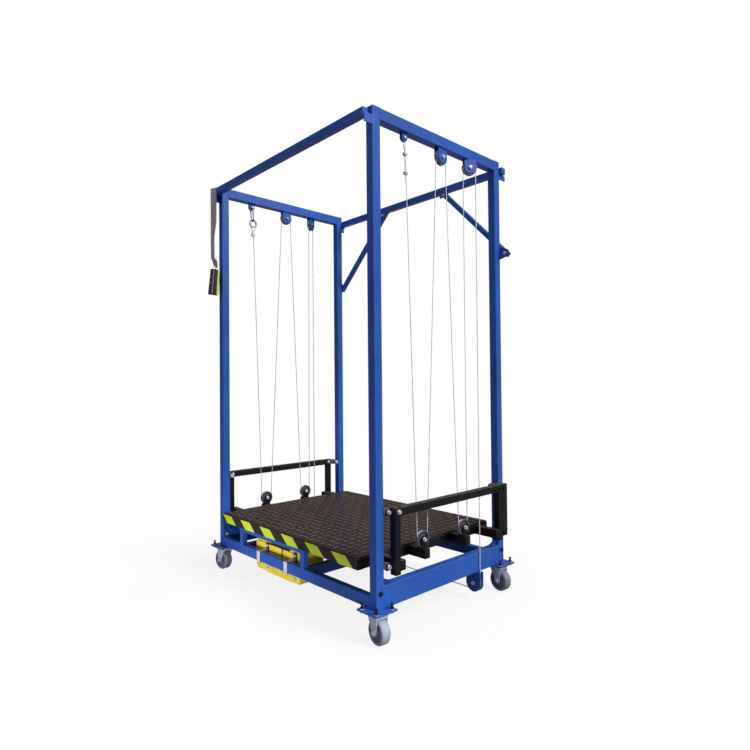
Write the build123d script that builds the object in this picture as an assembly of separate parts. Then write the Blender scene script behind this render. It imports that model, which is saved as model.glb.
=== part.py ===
"""Four-post wire-rope platform lift on swivel casters, built as separate pieces.

Millimetres, +Z up. The origin is on the floor under the middle of the four posts.
The front is -Y and the right-hand side is +X. The platform is at its lowest position.
Right-hand pieces are built first and mirrored to the left where both sides are alike.
"""
import os
from math import acos, atan2, cos, pi, radians, sin, tan

from build123d import *

# Clearances
RUNNING_GAP = 0.05
FREE_GAP = 0.3
HOLE_GAP = 0.1

# Tubes
WALL = 3.0
EDGE_RADIUS = 4.0
CAP = 4.0
VENT_RADIUS = 4.0

# Frame
POST_GRID_X = 1500.0
POST_GRID_Y = 1000.0
POST_SIZE = 50.0
POST_TOP_Z = 2583.0
SIDE_TOP_BEAM_HEIGHT = 60.0
CROSS_BEAM = 40.0
FRONT_BEAM_X = (-815.0, 745.0)
FRONT_BEAM_DROP = 50.0
REAR_BEAM_X = (-790.0, 790.0)
REAR_BEAM_DROP = 72.0
FRONT_SEAT = (53.0, 46.0)
REAR_SEAT = (60.0, 30.0)
SEAT_PLATE = 6.0
BASE_SIDE_HEIGHT = 110.0
BASE_CROSS_HEIGHT = 60.0
BASE_CROSS_DEPTH = 40.0
GUSSET_LENGTH = 100.0
GUSSET_HEIGHT = 40.0
GUSSET_LIP = 4.0
GUSSET_THICKNESS = 10.0

# Knee braces
BRACE = 30.0
BRACE_LOW_BOLT_X = {"left": 735.0, "right": 808.0}
BRACE_RISE = {"left": 162.0, "right": 250.0}
BRACE_HIGH_BOLT_DROP = 16.0
BRACE_END = 17.0
LUG = 5.0
LUG_MARGIN = 35.0
LUG_OVERHANG = 15.0
LUG_ROOT = (-40.0, 60.0)
LUG_TIP = (-20.0, 14.0)
LUG_TIP_REACH = 27.0

# Casters
WHEEL_RADIUS = 62.5
WHEEL_WIDTH = 50.0
HUB_WIDTH = 54.0
HUB_RADIUS = 17.0
WEB_HALF_WIDTHS = (17.0, 13.0)
TREAD_INNER_RADIUS = 45.0
TREAD_SHOULDER = (5.5, 7.0)
CASTER_TRAIL = 18.0
FOOT_PLATE = 140.0
FOOT_PLATE_THICKNESS = 8.0
FOOT_BOLT_OFFSET = 51.0
FOOT_STUD = 20.0
POST_BOLT_Z = 240.0
KING_PIN_RADIUS = 8.0
FORK_PLATE = 5.0
FORK_GAP = 1.5
FORK_CROWN_X = (-36.0, 44.0)
FORK_CROWN = 11.0
FORK_FOOT_RADIUS = 17.0
RACEWAY_RADIUS = 38.0
RACEWAY_HEIGHT = 14.0
TREAD_GAP = 4.0
FRONT_TRAIL_ANGLE = -8.0
REAR_TRAIL_ANGLE = -5.0

# Winch cradle and hoist
HOIST_X = -160.0
BEARER_X = (-490.0, 162.0)
BEARER_WIDTH = 40.0
PORTAL_POST = 30.0
PORTAL_DEPTH = 38.0
PORTAL_TOP_Z = 337.7
PORTAL_BAR = 34.7
GEAR_CASE_X = (-415.0, -265.0)
MOTOR_X = (-55.0, 45.0)
HOIST_Y = (-457.0, -270.0)
HOIST_Z = (78.0, 268.0)
HOIST_CORNER = 14.0
COVER = 8.0
TIE_ROD_RADIUS = 8.0
CLAMP_X = (-277.0, 15.0)
CLAMP_WIDTH = 25.0
CLAMP_THICKNESS = 5.0
DRUM_PITCH_RADIUS = 60.0
DRUM_Y = -370.0
DRUM_FLANGE_RADIUS = 72.0
DRUM_FLANGE = 6.0
DRUM_SHAFT_RADIUS = 12.0
DRUM_END_GAP = 3.0
DRUM_JOURNAL = 12.0
DRUM_WALL = 6.0
DRUM_HOLES = 5
DRUM_HOLE_RADIUS = 11.0
DRUM_HOLE_CIRCLE = 33.0
DEAD_TURNS = 2
TURN_GAP = 0.6
LIFT_TURNS = 17

# Ropes and sheaves
ROPE_RADIUS = 2.5
SHEAVE_PITCH_RADIUS = 38.0
SHEAVE_RIM_RADIUS = 43.0
SHEAVE_WIDTH = 20.0
SHEAVE_WEB = 8.0
SHEAVE_HUB_RADIUS = 13.0
SHEAVE_RIM_INNER = 30.0
GROOVE_MOUTH = 5.5
PIN_RADIUS = 6.0
WASHER_RATIO = 2.0
CHEEK = 5.0
CHEEK_GAP = 1.0
CHEEK_WIDTH = 40.0
TOP_CHEEK_WIDTH = 70.0
BASE_CHEEK_WIDTH = 98.0
ROPE_X = 751.0
TOP_SHEAVE_DROP = 45.0
PLATFORM_SHEAVE_Z = 433.0
PLATFORM_FRONT_SHEAVE_Y = -175.0
PLATFORM_REAR_SHEAVE_Y = 165.0
TOP_FRONT_SHEAVE_Y = 5.0
TOP_REAR_SHEAVE = (764.0, 243.0)
TOP_REAR_TURN = 30.0
BASE_SHEAVE_Z = 95.0
LEAD_SPACING = 80.0
EYE_RADIUS = 10.0
EYE_Y = -287.0
EYE_DROP = 24.0
EYE_JOIN_DROP = 60.0
EYE_BEND = 30.0
FALL_TOP_DROP = 219.0
CLIP_DROPS = (82.0, 179.0)
CLIP_HEIGHT = 14.0
CLIP_SIDE = 5.0
EAR_GAP = 8.0
THIMBLE_RADIUS = 28.0
THIMBLE_DROP = 111.0
THIMBLE_WIDTH = 10.0
THIMBLE_INNER_RADIUS = 21.0
THIMBLE_JOIN_DROP = 171.0
FERRULE_DROP = 190.0
FERRULE_HEIGHT = 20.0
DEAD_END_DROP = 207.0
SHACKLE_ROD = 4.0
SHACKLE_HALF_WIDTH = 14.0

# Platform
DECK_Z = 338.0
DECK_TUBE_HEIGHT = 50.0
DECK_TUBE_WIDTH = 40.0
DECK_SIDE_GAP = 52.0
DECK_FRONT_Y = -555.0
DECK_REAR_Y = 500.0
DECK_PLATE = 3.0
MAT = 8.0
MAT_MARGIN = 4.0
END_ARM_INSET = 48.0
SIDE_FRAME_GAP = 2.0
SIDE_FRAME_WIDTH = 40.0
SIDE_RAIL_Z = 603.0
SIDE_FRAME_END_GAP = 0.7
UPRIGHT = 36.0
UPRIGHT_FOOT_DROP = 15.0
RAIL_BOLT_INSET = 24.0
GUARD_WIDTH = 49.0
GUARD_LOW_Z = 343.0

# Guide rollers
ROLLER_RADIUS = 17.0
ROLLER_FLANGE_RADIUS = 20.5
ROLLER_X = (731.0, 784.0)
ROLLER_FLANGE = 6.5
ROLLER_Z = (623.0, 361.0)
ROLLER_TAB = 6.0
ROLLER_TAB_REACH = 27.0
ROLLER_TAB_HEIGHT = 32.0

# Hand control
STRAP_X = (-777.0, -729.0)
STRAP = 3.0
STRAP_TAPER_DROP = 425.0
STRAP_END_WIDTH = 16.0
STRAP_BACK_Y = -530.0
CONTROL_X = -755.0
CONTROL_WIDTHS = (74.0, 90.0)
CONTROL_DEPTH = 36.0
CONTROL_HEIGHT = 175.0
CONTROL_DROP = 508.0
CONTROL_TILT = 11.0
CONTROL_CORNER = 6.0
BUTTON_RADIUS = 11.0
BUTTON_LENGTH = 9.0
BUTTON_PROUD = 4.0
BUTTON_TRAVEL = 3.0
BUTTON_DEPTHS = (55.0, 95.0)

# Positions that follow from the sizes above
POST_X = POST_GRID_X / 2
POST_Y = POST_GRID_Y / 2
HALF_POST = POST_SIZE / 2
OUTER_X = POST_X + HALF_POST
INNER_X = POST_X - HALF_POST
OUTER_Y = POST_Y + HALF_POST
INNER_Y = POST_Y - HALF_POST
FRONT_Y = -OUTER_Y - REAR_SEAT[0]
SIDE_TOP_BEAM_Z = POST_TOP_Z - SIDE_TOP_BEAM_HEIGHT
FRONT_BEAM_Z = POST_TOP_Z - FRONT_BEAM_DROP
REAR_BEAM_Z = POST_TOP_Z - REAR_BEAM_DROP
TOP_SHEAVE_Z = SIDE_TOP_BEAM_Z - TOP_SHEAVE_DROP
EYE_Z = SIDE_TOP_BEAM_Z - EYE_DROP
FALL_TOP_Z = EYE_Z - FALL_TOP_DROP
CONTROL_TOP_Z = FRONT_BEAM_Z - CONTROL_DROP
DECK_HALF_WIDTH = INNER_X - DECK_SIDE_GAP
FORK_CROWN_Z = 2 * WHEEL_RADIUS + TREAD_GAP
RACEWAY_Z = FORK_CROWN_Z + FORK_CROWN
CASTER_HEIGHT = RACEWAY_Z + RACEWAY_HEIGHT
BASE_Z = CASTER_HEIGHT + FOOT_PLATE_THICKNESS
BASE_CROSS_TOP = BASE_Z + BASE_CROSS_HEIGHT
BASE_SIDE_TOP = BASE_Z + BASE_SIDE_HEIGHT
BASE_CROSS_INNER_Y = OUTER_Y - BASE_CROSS_DEPTH
DECK_TOP_Z = DECK_Z + DECK_TUBE_HEIGHT
SHEAVE_GAP = SHEAVE_WIDTH + 2 * CHEEK_GAP
TURN = radians(TOP_REAR_TURN)
TOP_REAR_ACROSS = Vector(sin(TURN), cos(TURN), 0)
TOP_REAR_AXIS = Vector(cos(TURN), -sin(TURN), 0)
RUN_X = TOP_REAR_SHEAVE[0] + SHEAVE_PITCH_RADIUS * sin(TURN)
RUN_Y = TOP_REAR_SHEAVE[1] + SHEAVE_PITCH_RADIUS * cos(TURN)
RUN_Z = BASE_SHEAVE_Z - SHEAVE_PITCH_RADIUS
BASE_SHEAVE_X = RUN_X - SHEAVE_PITCH_RADIUS
LEAD_Y = RUN_Y - SHEAVE_PITCH_RADIUS
DRUM_Z = RUN_Z + DRUM_PITCH_RADIUS
ROPE_FALLS = 4
LIFT = LIFT_TURNS * 2 * pi * DRUM_PITCH_RADIUS / ROPE_FALLS
LIVE_TOP_Y = EYE_Y + EYE_RADIUS
LIVE_LOW_Y = PLATFORM_FRONT_SHEAVE_Y - SHEAVE_PITCH_RADIUS
ROLLER_Y = INNER_Y - ROLLER_RADIUS - FREE_GAP
SIDE_FRAME_INNER_X = ROLLER_X[1] + SIDE_FRAME_GAP
SIDE_FRAME_X = (SIDE_FRAME_INNER_X, SIDE_FRAME_INNER_X + SIDE_FRAME_WIDTH)
SIDE_FRAME_HALF_LENGTH = ROLLER_Y - WASHER_RATIO * PIN_RADIUS - SIDE_FRAME_END_GAP
END_ARM_Y = SIDE_FRAME_HALF_LENGTH - END_ARM_INSET
PLATFORM_SHEAVES_Y = (PLATFORM_FRONT_SHEAVE_Y, PLATFORM_REAR_SHEAVE_Y)
SIDES = {"left": -1, "right": 1}
ENDS = {"front": -1, "rear": 1}


# Helpers for shapes

def block(x, y, z):
    """Box between two values on each axis."""
    spans = [sorted(span) for span in (x, y, z)]
    middle = [(low + high) / 2 for low, high in spans]
    size = [high - low for low, high in spans]
    return Pos(*middle) * Box(*size)


def tube(start, end, width, height, caps=0):
    """Hollow tube with round edges from start to end; height is its upright side.

    One cap closes the far end. Two caps close both ends and leave a vent hole underneath.
    """
    start = Vector(*start)
    along = Vector(*end) - start
    level = Vector(0, 0, 1).cross(along)
    across = level if level.length > 1 else Vector(1, 0, 0)
    plane = Plane(start, x_dir=across, z_dir=along)
    outer = extrude(plane * RectangleRounded(width, height, EDGE_RADIUS), along.length)
    near_cap = CAP if caps == 2 else 0
    section = plane.offset(near_cap) * Rectangle(width - 2 * WALL, height - 2 * WALL)
    shape = outer - extrude(section, along.length - CAP * caps)
    if caps == 2:
        vent = start + along * 0.1 - Vector(0, 0, height / 2)
        shape -= Pos(*vent) * Cylinder(VENT_RADIUS, 4 * WALL)
    return shape


def rod(start, end, radius):
    """Cylinder between two points."""
    start = Vector(*start)
    along = Vector(*end) - start
    return extrude(Plane(start, z_dir=along) * Circle(radius), along.length)


def turned(points, centre, axis):
    """Solid of revolution from (radius, height) points, set on a centre and an axis."""
    profile = Plane.XZ * make_face(Polyline(*points, close=True))
    return Plane(centre, z_dir=axis) * revolve(profile, Axis.Z)


def bolt(head_at, nut_at, radius=PIN_RADIUS, stud=0):
    """Bolt with two washers between two points; a stud goes on through the nut at the first point."""
    washer = 0.3 * radius
    head = 1.3 * radius
    bearing = Vector(*head_at)
    grip = (bearing - Vector(*nut_at)).length
    plane = Plane(bearing, z_dir=bearing - Vector(*nut_at))
    hexagon = RegularPolygon(1.75 * radius, 6)
    ring = Circle(WASHER_RATIO * radius)
    low = plane.offset(-grip - washer - head)
    shape = extrude(low * Circle(radius), grip + 2 * washer + 2 * head + stud)
    shape += extrude(plane * ring, washer)
    shape += extrude(plane.offset(washer) * hexagon, head)
    shape += extrude(plane.offset(-grip - washer) * ring, washer)
    shape += extrude(low * hexagon, head)
    return shape


def bolt_head(at, outward, radius=PIN_RADIUS):
    """Washer and hexagon head that stand on a face."""
    plane = Plane(at, z_dir=outward)
    shape = extrude(plane * Circle(WASHER_RATIO * radius), 0.3 * radius)
    return shape + extrude(plane * RegularPolygon(1.75 * radius, 6), 1.6 * radius)


def tongue(reach, width, thickness, hole):
    """Plate from a square end on the local X axis to a round end about a hole at (0, reach)."""
    plate = Pos(0, reach / 2) * Rectangle(width, reach)
    plate += Pos(0, reach) * Circle(width / 2)
    plate -= Pos(0, reach) * Circle(hole)
    return extrude(plate, thickness)


def to_left(shape):
    """Mirror image on the left-hand side."""
    return mirror(shape, about=Plane.YZ)


def on_side(shape, side):
    """A right-hand shape, mirrored where it belongs on the left."""
    return shape if side == "right" else to_left(shape)


def both_sides(shape):
    """A right-hand shape and its mirror image."""
    return [shape, to_left(shape)]


def four_corners(shape):
    """A shape at the right-hand front and its images at the other three corners."""
    return [copy for end in (shape, mirror(shape, about=Plane.XZ)) for copy in both_sides(end)]


# Sheaves and their blocks

def sheave(centre, axis):
    """Grooved wheel whose rope runs on the pitch radius."""
    bore = PIN_RADIUS + RUNNING_GAP
    groove = ROPE_RADIUS + FREE_GAP
    half = SHEAVE_WIDTH / 2
    web = SHEAVE_WEB / 2
    low = [
        (SHEAVE_PITCH_RADIUS, -groove),
        (SHEAVE_RIM_RADIUS, -GROOVE_MOUTH),
        (SHEAVE_RIM_RADIUS, -half),
        (SHEAVE_RIM_INNER, -half),
        (SHEAVE_RIM_INNER, -web),
        (SHEAVE_HUB_RADIUS, -web),
        (SHEAVE_HUB_RADIUS, -half),
        (bore, -half),
    ]
    high = [(radius, -height) for radius, height in reversed(low)]
    outline = Polyline(*low, *high)
    groove_floor = ThreePointArc(high[-1], (SHEAVE_PITCH_RADIUS - groove, 0), low[0])
    profile = Plane.XZ * make_face([outline, groove_floor])
    return Plane(centre, z_dir=axis) * revolve(profile, Axis.Z)


def cheeks(centre, axis, reach, width=CHEEK_WIDTH, inner_gap=SHEAVE_GAP, hole=PIN_RADIUS + HOLE_GAP):
    """Two tongue plates beside a sheave. Positive reach fixes them above it, negative below it."""
    centre = Vector(*centre)
    axis = Vector(*axis)
    up = Vector(0, 0, 1 if reach > 0 else -1)
    fixed_at = centre + up * abs(reach)
    plane = Plane(fixed_at, x_dir=axis.cross(up), z_dir=axis)
    plate = tongue(abs(reach), width, CHEEK, hole)
    return [plane.offset(inner_gap / 2) * plate, plane.offset(-inner_gap / 2 - CHEEK) * plate]


def sheave_bolt(centre, axis):
    """Bolt that carries a sheave between its cheeks."""
    half = SHEAVE_WIDTH / 2 + CHEEK_GAP + CHEEK
    centre = Vector(*centre)
    axis = Vector(*axis)
    return bolt(centre + axis * half, centre - axis * half)


# Frame

def make_frame(pieces):
    """Posts, beams and braces."""
    post_low = (POST_X, POST_Y, BASE_Z)
    post = tube(post_low, (POST_X, POST_Y, POST_TOP_Z), POST_SIZE, POST_SIZE, caps=1)
    beam_z = SIDE_TOP_BEAM_Z + SIDE_TOP_BEAM_HEIGHT / 2
    beam_ends = [(POST_X, y, beam_z) for y in (-INNER_Y, INNER_Y)]
    side_top = tube(*beam_ends, POST_SIZE, SIDE_TOP_BEAM_HEIGHT)
    base_z = BASE_Z + BASE_SIDE_HEIGHT / 2
    side_base = tube((POST_X, -INNER_Y, base_z), (POST_X, INNER_Y, base_z), POST_SIZE, BASE_SIDE_HEIGHT)
    for side, sign in SIDES.items():
        pieces[f"{side}_top_beam"] = [side_top if sign > 0 else to_left(side_top)]
        pieces[f"{side}_base_beam"] = [side_base if sign > 0 else to_left(side_base)]
        for end, end_sign in ENDS.items():
            pieces[f"{end}_{side}_post"] = [Pos((sign - 1) * POST_X, (end_sign - 1) * POST_Y, 0) * post]
    for end, sign in ENDS.items():
        low, span = (FRONT_BEAM_Z, FRONT_BEAM_X) if sign < 0 else (REAR_BEAM_Z, REAR_BEAM_X)
        y = sign * (OUTER_Y + CROSS_BEAM / 2)
        beam_ends = [(x, y, low + CROSS_BEAM / 2) for x in span]
        pieces[f"{end}_top_beam"] = [tube(*beam_ends, CROSS_BEAM, CROSS_BEAM, caps=2)]
        y = sign * (OUTER_Y - BASE_CROSS_DEPTH / 2)
        z = BASE_Z + BASE_CROSS_HEIGHT / 2
        start = (-INNER_X, y, z)
        pieces[f"{end}_base_beam"] = [tube(start, (INNER_X, y, z), BASE_CROSS_DEPTH, BASE_CROSS_HEIGHT)]
    pieces["knee_braces"] = [on_side(knee_brace(side), side) for side in SIDES]


def brace_y():
    """Middle plane of the knee braces, behind their lugs."""
    return OUTER_Y + LUG + BRACE / 2


def brace_bolts(side):
    """Lower and upper bolt positions (x, z) on the 45 degree line of one brace, as if on the right."""
    line = POST_TOP_Z + BRACE_RISE[side]
    low_x = BRACE_LOW_BOLT_X[side]
    high_z = REAR_BEAM_Z - BRACE_HIGH_BOLT_DROP
    return (low_x, line - low_x), (line - high_z, high_z)


def knee_brace(side):
    """Tube at 45 degrees, cut level under the rear top beam."""
    (low_x, low_z), (high_x, high_z) = brace_bolts(side)
    y = brace_y()
    step = BRACE_END / 2 ** 0.5
    past = 2 * CROSS_BEAM
    start = (low_x + step, y, low_z - step)
    shape = tube(start, (high_x - past, y, high_z + past), BRACE, BRACE)
    shape -= block((0, high_x + past), (OUTER_Y, y + BRACE), (REAR_BEAM_Z, REAR_BEAM_Z + 4 * past))
    for x, z in brace_bolts(side):
        shape -= rod((x, y - BRACE, z), (x, y + BRACE, z), PIN_RADIUS - 1 + HOLE_GAP)
    return shape


def beam_seat(top_z, reach, height):
    """Angle bracket on the right-hand front post that carries the end of a cross beam."""
    inner = OUTER_X - CROSS_BEAM
    seat = block((inner, OUTER_X), (-OUTER_Y - CROSS_BEAM, -OUTER_Y), (top_z - SEAT_PLATE, top_z))
    cheek = block((OUTER_X - SEAT_PLATE, OUTER_X), (-OUTER_Y - reach, -OUTER_Y), (top_z - height, top_z))
    return seat + cheek


def gusset():
    """Concave corner plate between the right-hand base beam and the rear post."""
    start_y = INNER_Y - GUSSET_LENGTH
    low = (start_y, BASE_SIDE_TOP)
    lip = (start_y, BASE_SIDE_TOP + GUSSET_LIP)
    top = (INNER_Y, BASE_SIDE_TOP + GUSSET_HEIGHT)
    sides = Polyline(lip, low, (INNER_Y, BASE_SIDE_TOP), top)
    curve = TangentArc(lip, top, tangent=(1, 0))
    plate = extrude(Plane.YZ * make_face([sides, curve]), GUSSET_THICKNESS)
    return Pos(POST_X - GUSSET_THICKNESS / 2, 0, 0) * plate


def foot_plate():
    """Square plate under the right-hand rear post, bored for the caster's king pin."""
    plate = Pos(POST_X, POST_Y, CASTER_HEIGHT + FOOT_PLATE_THICKNESS / 2)
    shape = plate * Box(FOOT_PLATE, FOOT_PLATE, FOOT_PLATE_THICKNESS)
    shape -= plate * Cylinder(KING_PIN_RADIUS + RUNNING_GAP, FOOT_PLATE_THICKNESS)
    for x in (-FOOT_BOLT_OFFSET, FOOT_BOLT_OFFSET):
        for y in (-FOOT_BOLT_OFFSET, FOOT_BOLT_OFFSET):
            shape -= plate * Pos(x, y, 0) * Cylinder(PIN_RADIUS + HOLE_GAP, FOOT_PLATE_THICKNESS)
    return shape


def brace_lugs(side):
    """Lugs for one knee brace: a tapered one on the rear post and one under the rear top beam."""
    (low_x, low_z), (high_x, high_z) = brace_bolts(side)
    y = (OUTER_Y, OUTER_Y + LUG)
    tip_x = low_x + LUG_TIP_REACH if low_x > POST_X else low_x - LUG_TIP_REACH
    corners = [(POST_X, low_z + rise) for rise in LUG_ROOT]
    corners += [(tip_x, low_z + rise) for rise in reversed(LUG_TIP)]
    face = Plane.XZ.offset(-y[1]) * make_face(Polyline(*corners, close=True))
    low = extrude(face, LUG)
    high = block((high_x - LUG_MARGIN, high_x + LUG_MARGIN), y, (high_z - LUG_OVERHANG, REAR_BEAM_Z))
    lugs = []
    for lug, (x, z) in ((low, (low_x, low_z)), (high, (high_x, high_z))):
        lugs.append(lug - rod((x, y[0] - LUG, z), (x, y[1] + LUG, z), PIN_RADIUS - 1 + HOLE_GAP))
    return lugs


def top_front_centre():
    """Centre of the front sheave under the right-hand top beam."""
    return Vector(ROPE_X, TOP_FRONT_SHEAVE_Y, TOP_SHEAVE_Z)


def top_rear_centre():
    """Centre of the turned sheave under the right-hand top beam."""
    return Vector(*TOP_REAR_SHEAVE, TOP_SHEAVE_Z)


def lead_block(sign):
    """Hanger with two shelf plates for the lead sheave of one side."""
    centre_x = HOIST_X + sign * (LEAD_SPACING / 2 + SHEAVE_PITCH_RADIUS)
    reach = SHEAVE_RIM_RADIUS + CHEEK_GAP + 1
    shelf_gap = SHEAVE_WIDTH / 2 + CHEEK_GAP
    web_x = centre_x + sign * reach
    cross_y = (LEAD_Y - CHEEK_WIDTH / 2, LEAD_Y + CHEEK_WIDTH / 2)
    low = RUN_Z - shelf_gap - CHEEK
    shape = block((web_x, web_x + sign * CHEEK), cross_y, (low, BASE_Z))
    plate = tongue(reach, CHEEK_WIDTH, CHEEK, PIN_RADIUS + HOLE_GAP)
    for z in (low, RUN_Z + shelf_gap):
        shape += Plane((web_x, LEAD_Y, z), x_dir=(0, sign, 0), z_dir=(0, 0, 1)) * plate
    return shape


def make_frame_plates(pieces):
    """Plates welded to the frame: seats, lugs, gussets, foot plates, sheave blocks and ears."""
    plates = both_sides(beam_seat(FRONT_BEAM_Z, *FRONT_SEAT))
    plates += both_sides(mirror(beam_seat(REAR_BEAM_Z, *REAR_SEAT), about=Plane.XZ))
    plates += four_corners(gusset())
    plates += four_corners(foot_plate())
    for side in SIDES:
        plates += [on_side(lug, side) for lug in brace_lugs(side)]
    right = cheeks(top_front_centre(), (1, 0, 0), TOP_SHEAVE_DROP, TOP_CHEEK_WIDTH)
    right += cheeks(top_rear_centre(), TOP_REAR_AXIS, TOP_SHEAVE_DROP, TOP_CHEEK_WIDTH)
    eye_hole = EYE_RADIUS - ROPE_RADIUS
    right += cheeks((ROPE_X, EYE_Y, EYE_Z), (1, 0, 0), EYE_DROP, CHEEK_WIDTH, EAR_GAP, eye_hole)
    base_centre = (BASE_SHEAVE_X, RUN_Y, BASE_SHEAVE_Z)
    right += cheeks(base_centre, (0, 1, 0), BASE_Z - BASE_SHEAVE_Z, BASE_CHEEK_WIDTH)
    for plate in right:
        plates += both_sides(plate)
    plates += [lead_block(sign) for sign in SIDES.values()]
    pieces["frame_plates"] = plates


def live_y(z):
    """Y of the anchored rope part at a height."""
    slope = (LIVE_LOW_Y - LIVE_TOP_Y) / (EYE_Z - PLATFORM_SHEAVE_Z)
    return LIVE_TOP_Y + slope * (EYE_Z - z)


def thimble_centre():
    """Y and Z of the thimble in the left-hand rope's eye."""
    z = EYE_Z - THIMBLE_DROP
    return Vector(live_y(z), z)


def thimble():
    """Grooved ring inside the eye of a rope, built on the right."""
    half = THIMBLE_WIDTH / 2
    floor = THIMBLE_RADIUS - ROPE_RADIUS - HOLE_GAP
    groove = ROPE_RADIUS + TURN_GAP
    profile = [
        (THIMBLE_INNER_RADIUS, -half),
        (THIMBLE_RADIUS, -half),
        (floor, -groove),
        (floor, groove),
        (THIMBLE_RADIUS, half),
        (THIMBLE_INNER_RADIUS, half),
    ]
    y, z = thimble_centre().X, thimble_centre().Y
    return turned(profile, (ROPE_X, y, z), (1, 0, 0))


def shackle():
    """Bow shackle with its pin: it hangs in the anchor ear and carries the thimble, built on the right."""
    pin = Vector(ROPE_X, EYE_Y, EYE_Z)
    ring = Vector(ROPE_X, thimble_centre().X, thimble_centre().Y)
    way = (ring - pin).normalized()
    length = (ring - pin).length - THIMBLE_INNER_RADIUS + SHACKLE_ROD + CHEEK_GAP
    half = SHACKLE_HALF_WIDTH
    straight = length - half
    path = Line((half, 0), (half, straight)) + ThreePointArc((half, straight), (0, length), (-half, straight))
    path += Line((-half, straight), (-half, 0))
    plane = Plane(pin, x_dir=(1, 0, 0), z_dir=Vector(1, 0, 0).cross(way))
    start = Plane(plane.from_local_coords(Vector(half, 0, 0)), z_dir=way)
    bow = sweep(start * Circle(SHACKLE_ROD), path=Wire((plane * path).edges()))
    reach = Vector(half + 2 * SHACKLE_ROD, 0, 0)
    return bow + rod(pin - reach, pin + reach, EYE_RADIUS - ROPE_RADIUS - HOLE_GAP)


def rope_clip(z, height=CLIP_HEIGHT):
    """Clip or ferrule round the live and the dead part of the right-hand rope."""
    middle = live_y(z) - ROPE_RADIUS
    deep = 2 * ROPE_RADIUS + FREE_GAP
    wide = ROPE_RADIUS + HOLE_GAP
    span = (z - height / 2, z + height / 2)
    outer_x = (ROPE_X - wide - CLIP_SIDE, ROPE_X + wide + CLIP_SIDE)
    outer = block(outer_x, (middle - deep - CLIP_SIDE, middle + deep + CLIP_SIDE), span)
    slot = (middle - deep - TURN_GAP, middle + deep)
    return outer - block((ROPE_X - wide, ROPE_X + wide), slot, span)


def hoist_clamp(x):
    """Flat strap bent round the front base beam, with its ends on the hoist."""
    wide = (x - CLAMP_WIDTH / 2, x + CLAMP_WIDTH / 2)
    outer_z = (BASE_Z - CLAMP_THICKNESS, BASE_CROSS_TOP + CLAMP_THICKNESS)
    outer = block(wide, (-OUTER_Y - CLAMP_THICKNESS, HOIST_Y[0]), outer_z)
    return outer - block(wide, (-OUTER_Y, HOIST_Y[0]), (BASE_Z, BASE_CROSS_TOP))


def brace_bolt(x, z):
    """Bolt through a knee brace and its lug, without a nut where the lug lies against the post."""
    back = brace_y() + BRACE / 2
    radius = PIN_RADIUS - 1
    if INNER_X < x < OUTER_X:
        return rod((x, OUTER_Y, z), (x, back, z), radius) + bolt_head((x, back, z), (0, 1, 0), radius)
    return bolt((x, back, z), (x, OUTER_Y, z), radius)


def make_frame_hardware(pieces):
    """Bolts, pins, rope clips and hoist clamps on the frame."""
    hardware = both_sides(sheave_bolt(top_front_centre(), (1, 0, 0)))
    hardware += both_sides(sheave_bolt(top_rear_centre(), TOP_REAR_AXIS))
    hardware += both_sides(sheave_bolt((BASE_SHEAVE_X, RUN_Y, BASE_SHEAVE_Z), (0, 1, 0)))
    for sign in SIDES.values():
        lead_x = HOIST_X + sign * (LEAD_SPACING / 2 + SHEAVE_PITCH_RADIUS)
        hardware.append(sheave_bolt((lead_x, LEAD_Y, RUN_Z), (0, 0, 1)))
    pin = EYE_RADIUS - ROPE_RADIUS - HOLE_GAP
    reach = EAR_GAP / 2 + 2 * CHEEK
    hardware.append(rod((ROPE_X - reach, EYE_Y, EYE_Z), (ROPE_X + reach, EYE_Y, EYE_Z), pin))
    hardware += [rope_clip(EYE_Z - drop) for drop in CLIP_DROPS]
    ferrule = rope_clip(EYE_Z - FERRULE_DROP, FERRULE_HEIGHT)
    hardware += [to_left(part) for part in (shackle(), thimble(), ferrule)]
    for x in (-FOOT_BOLT_OFFSET, FOOT_BOLT_OFFSET):
        for y in (-FOOT_BOLT_OFFSET, FOOT_BOLT_OFFSET):
            at = (POST_X + x, POST_Y + y)
            hardware += four_corners(bolt((*at, BASE_Z), (*at, CASTER_HEIGHT), stud=FOOT_STUD))
    for side in SIDES:
        hardware += [on_side(brace_bolt(*at), side) for at in brace_bolts(side)]
    hardware += four_corners(bolt_head((OUTER_X, POST_Y, POST_BOLT_Z), (1, 0, 0)))
    for x in CLAMP_X:
        hardware.append(hoist_clamp(x))
    pieces["frame_hardware"] = hardware


def make_cradle(pieces):
    """Two bearers, a cross tube and the portal over the front base beam."""
    z = BASE_Z + BASE_CROSS_HEIGHT / 2
    parts = []
    for x in BEARER_X:
        start = (x, -BASE_CROSS_INNER_Y, z)
        parts.append(tube(start, (x, BASE_CROSS_INNER_Y, z), BEARER_WIDTH, BASE_CROSS_HEIGHT))
    inner = [BEARER_X[0] + BEARER_WIDTH / 2, BEARER_X[1] - BEARER_WIDTH / 2]
    parts.append(tube((inner[0], LEAD_Y, z), (inner[1], LEAD_Y, z), BEARER_WIDTH, BASE_CROSS_HEIGHT))
    y = -OUTER_Y + PORTAL_DEPTH / 2
    bar_low = PORTAL_TOP_Z - PORTAL_BAR
    outer = [BEARER_X[0] - BEARER_WIDTH / 2, BEARER_X[1] + BEARER_WIDTH / 2]
    for x in (outer[0] + PORTAL_POST / 2, outer[1] - PORTAL_POST / 2):
        parts.append(tube((x, y, BASE_CROSS_TOP), (x, y, bar_low), PORTAL_POST, PORTAL_DEPTH))
    bar_z = PORTAL_TOP_Z - PORTAL_BAR / 2
    parts.append(tube((outer[0] - 5, y, bar_z), (outer[1] + 5, y, bar_z), PORTAL_DEPTH, PORTAL_BAR, caps=2))
    pieces["winch_cradle"] = parts


# Hoist

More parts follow.
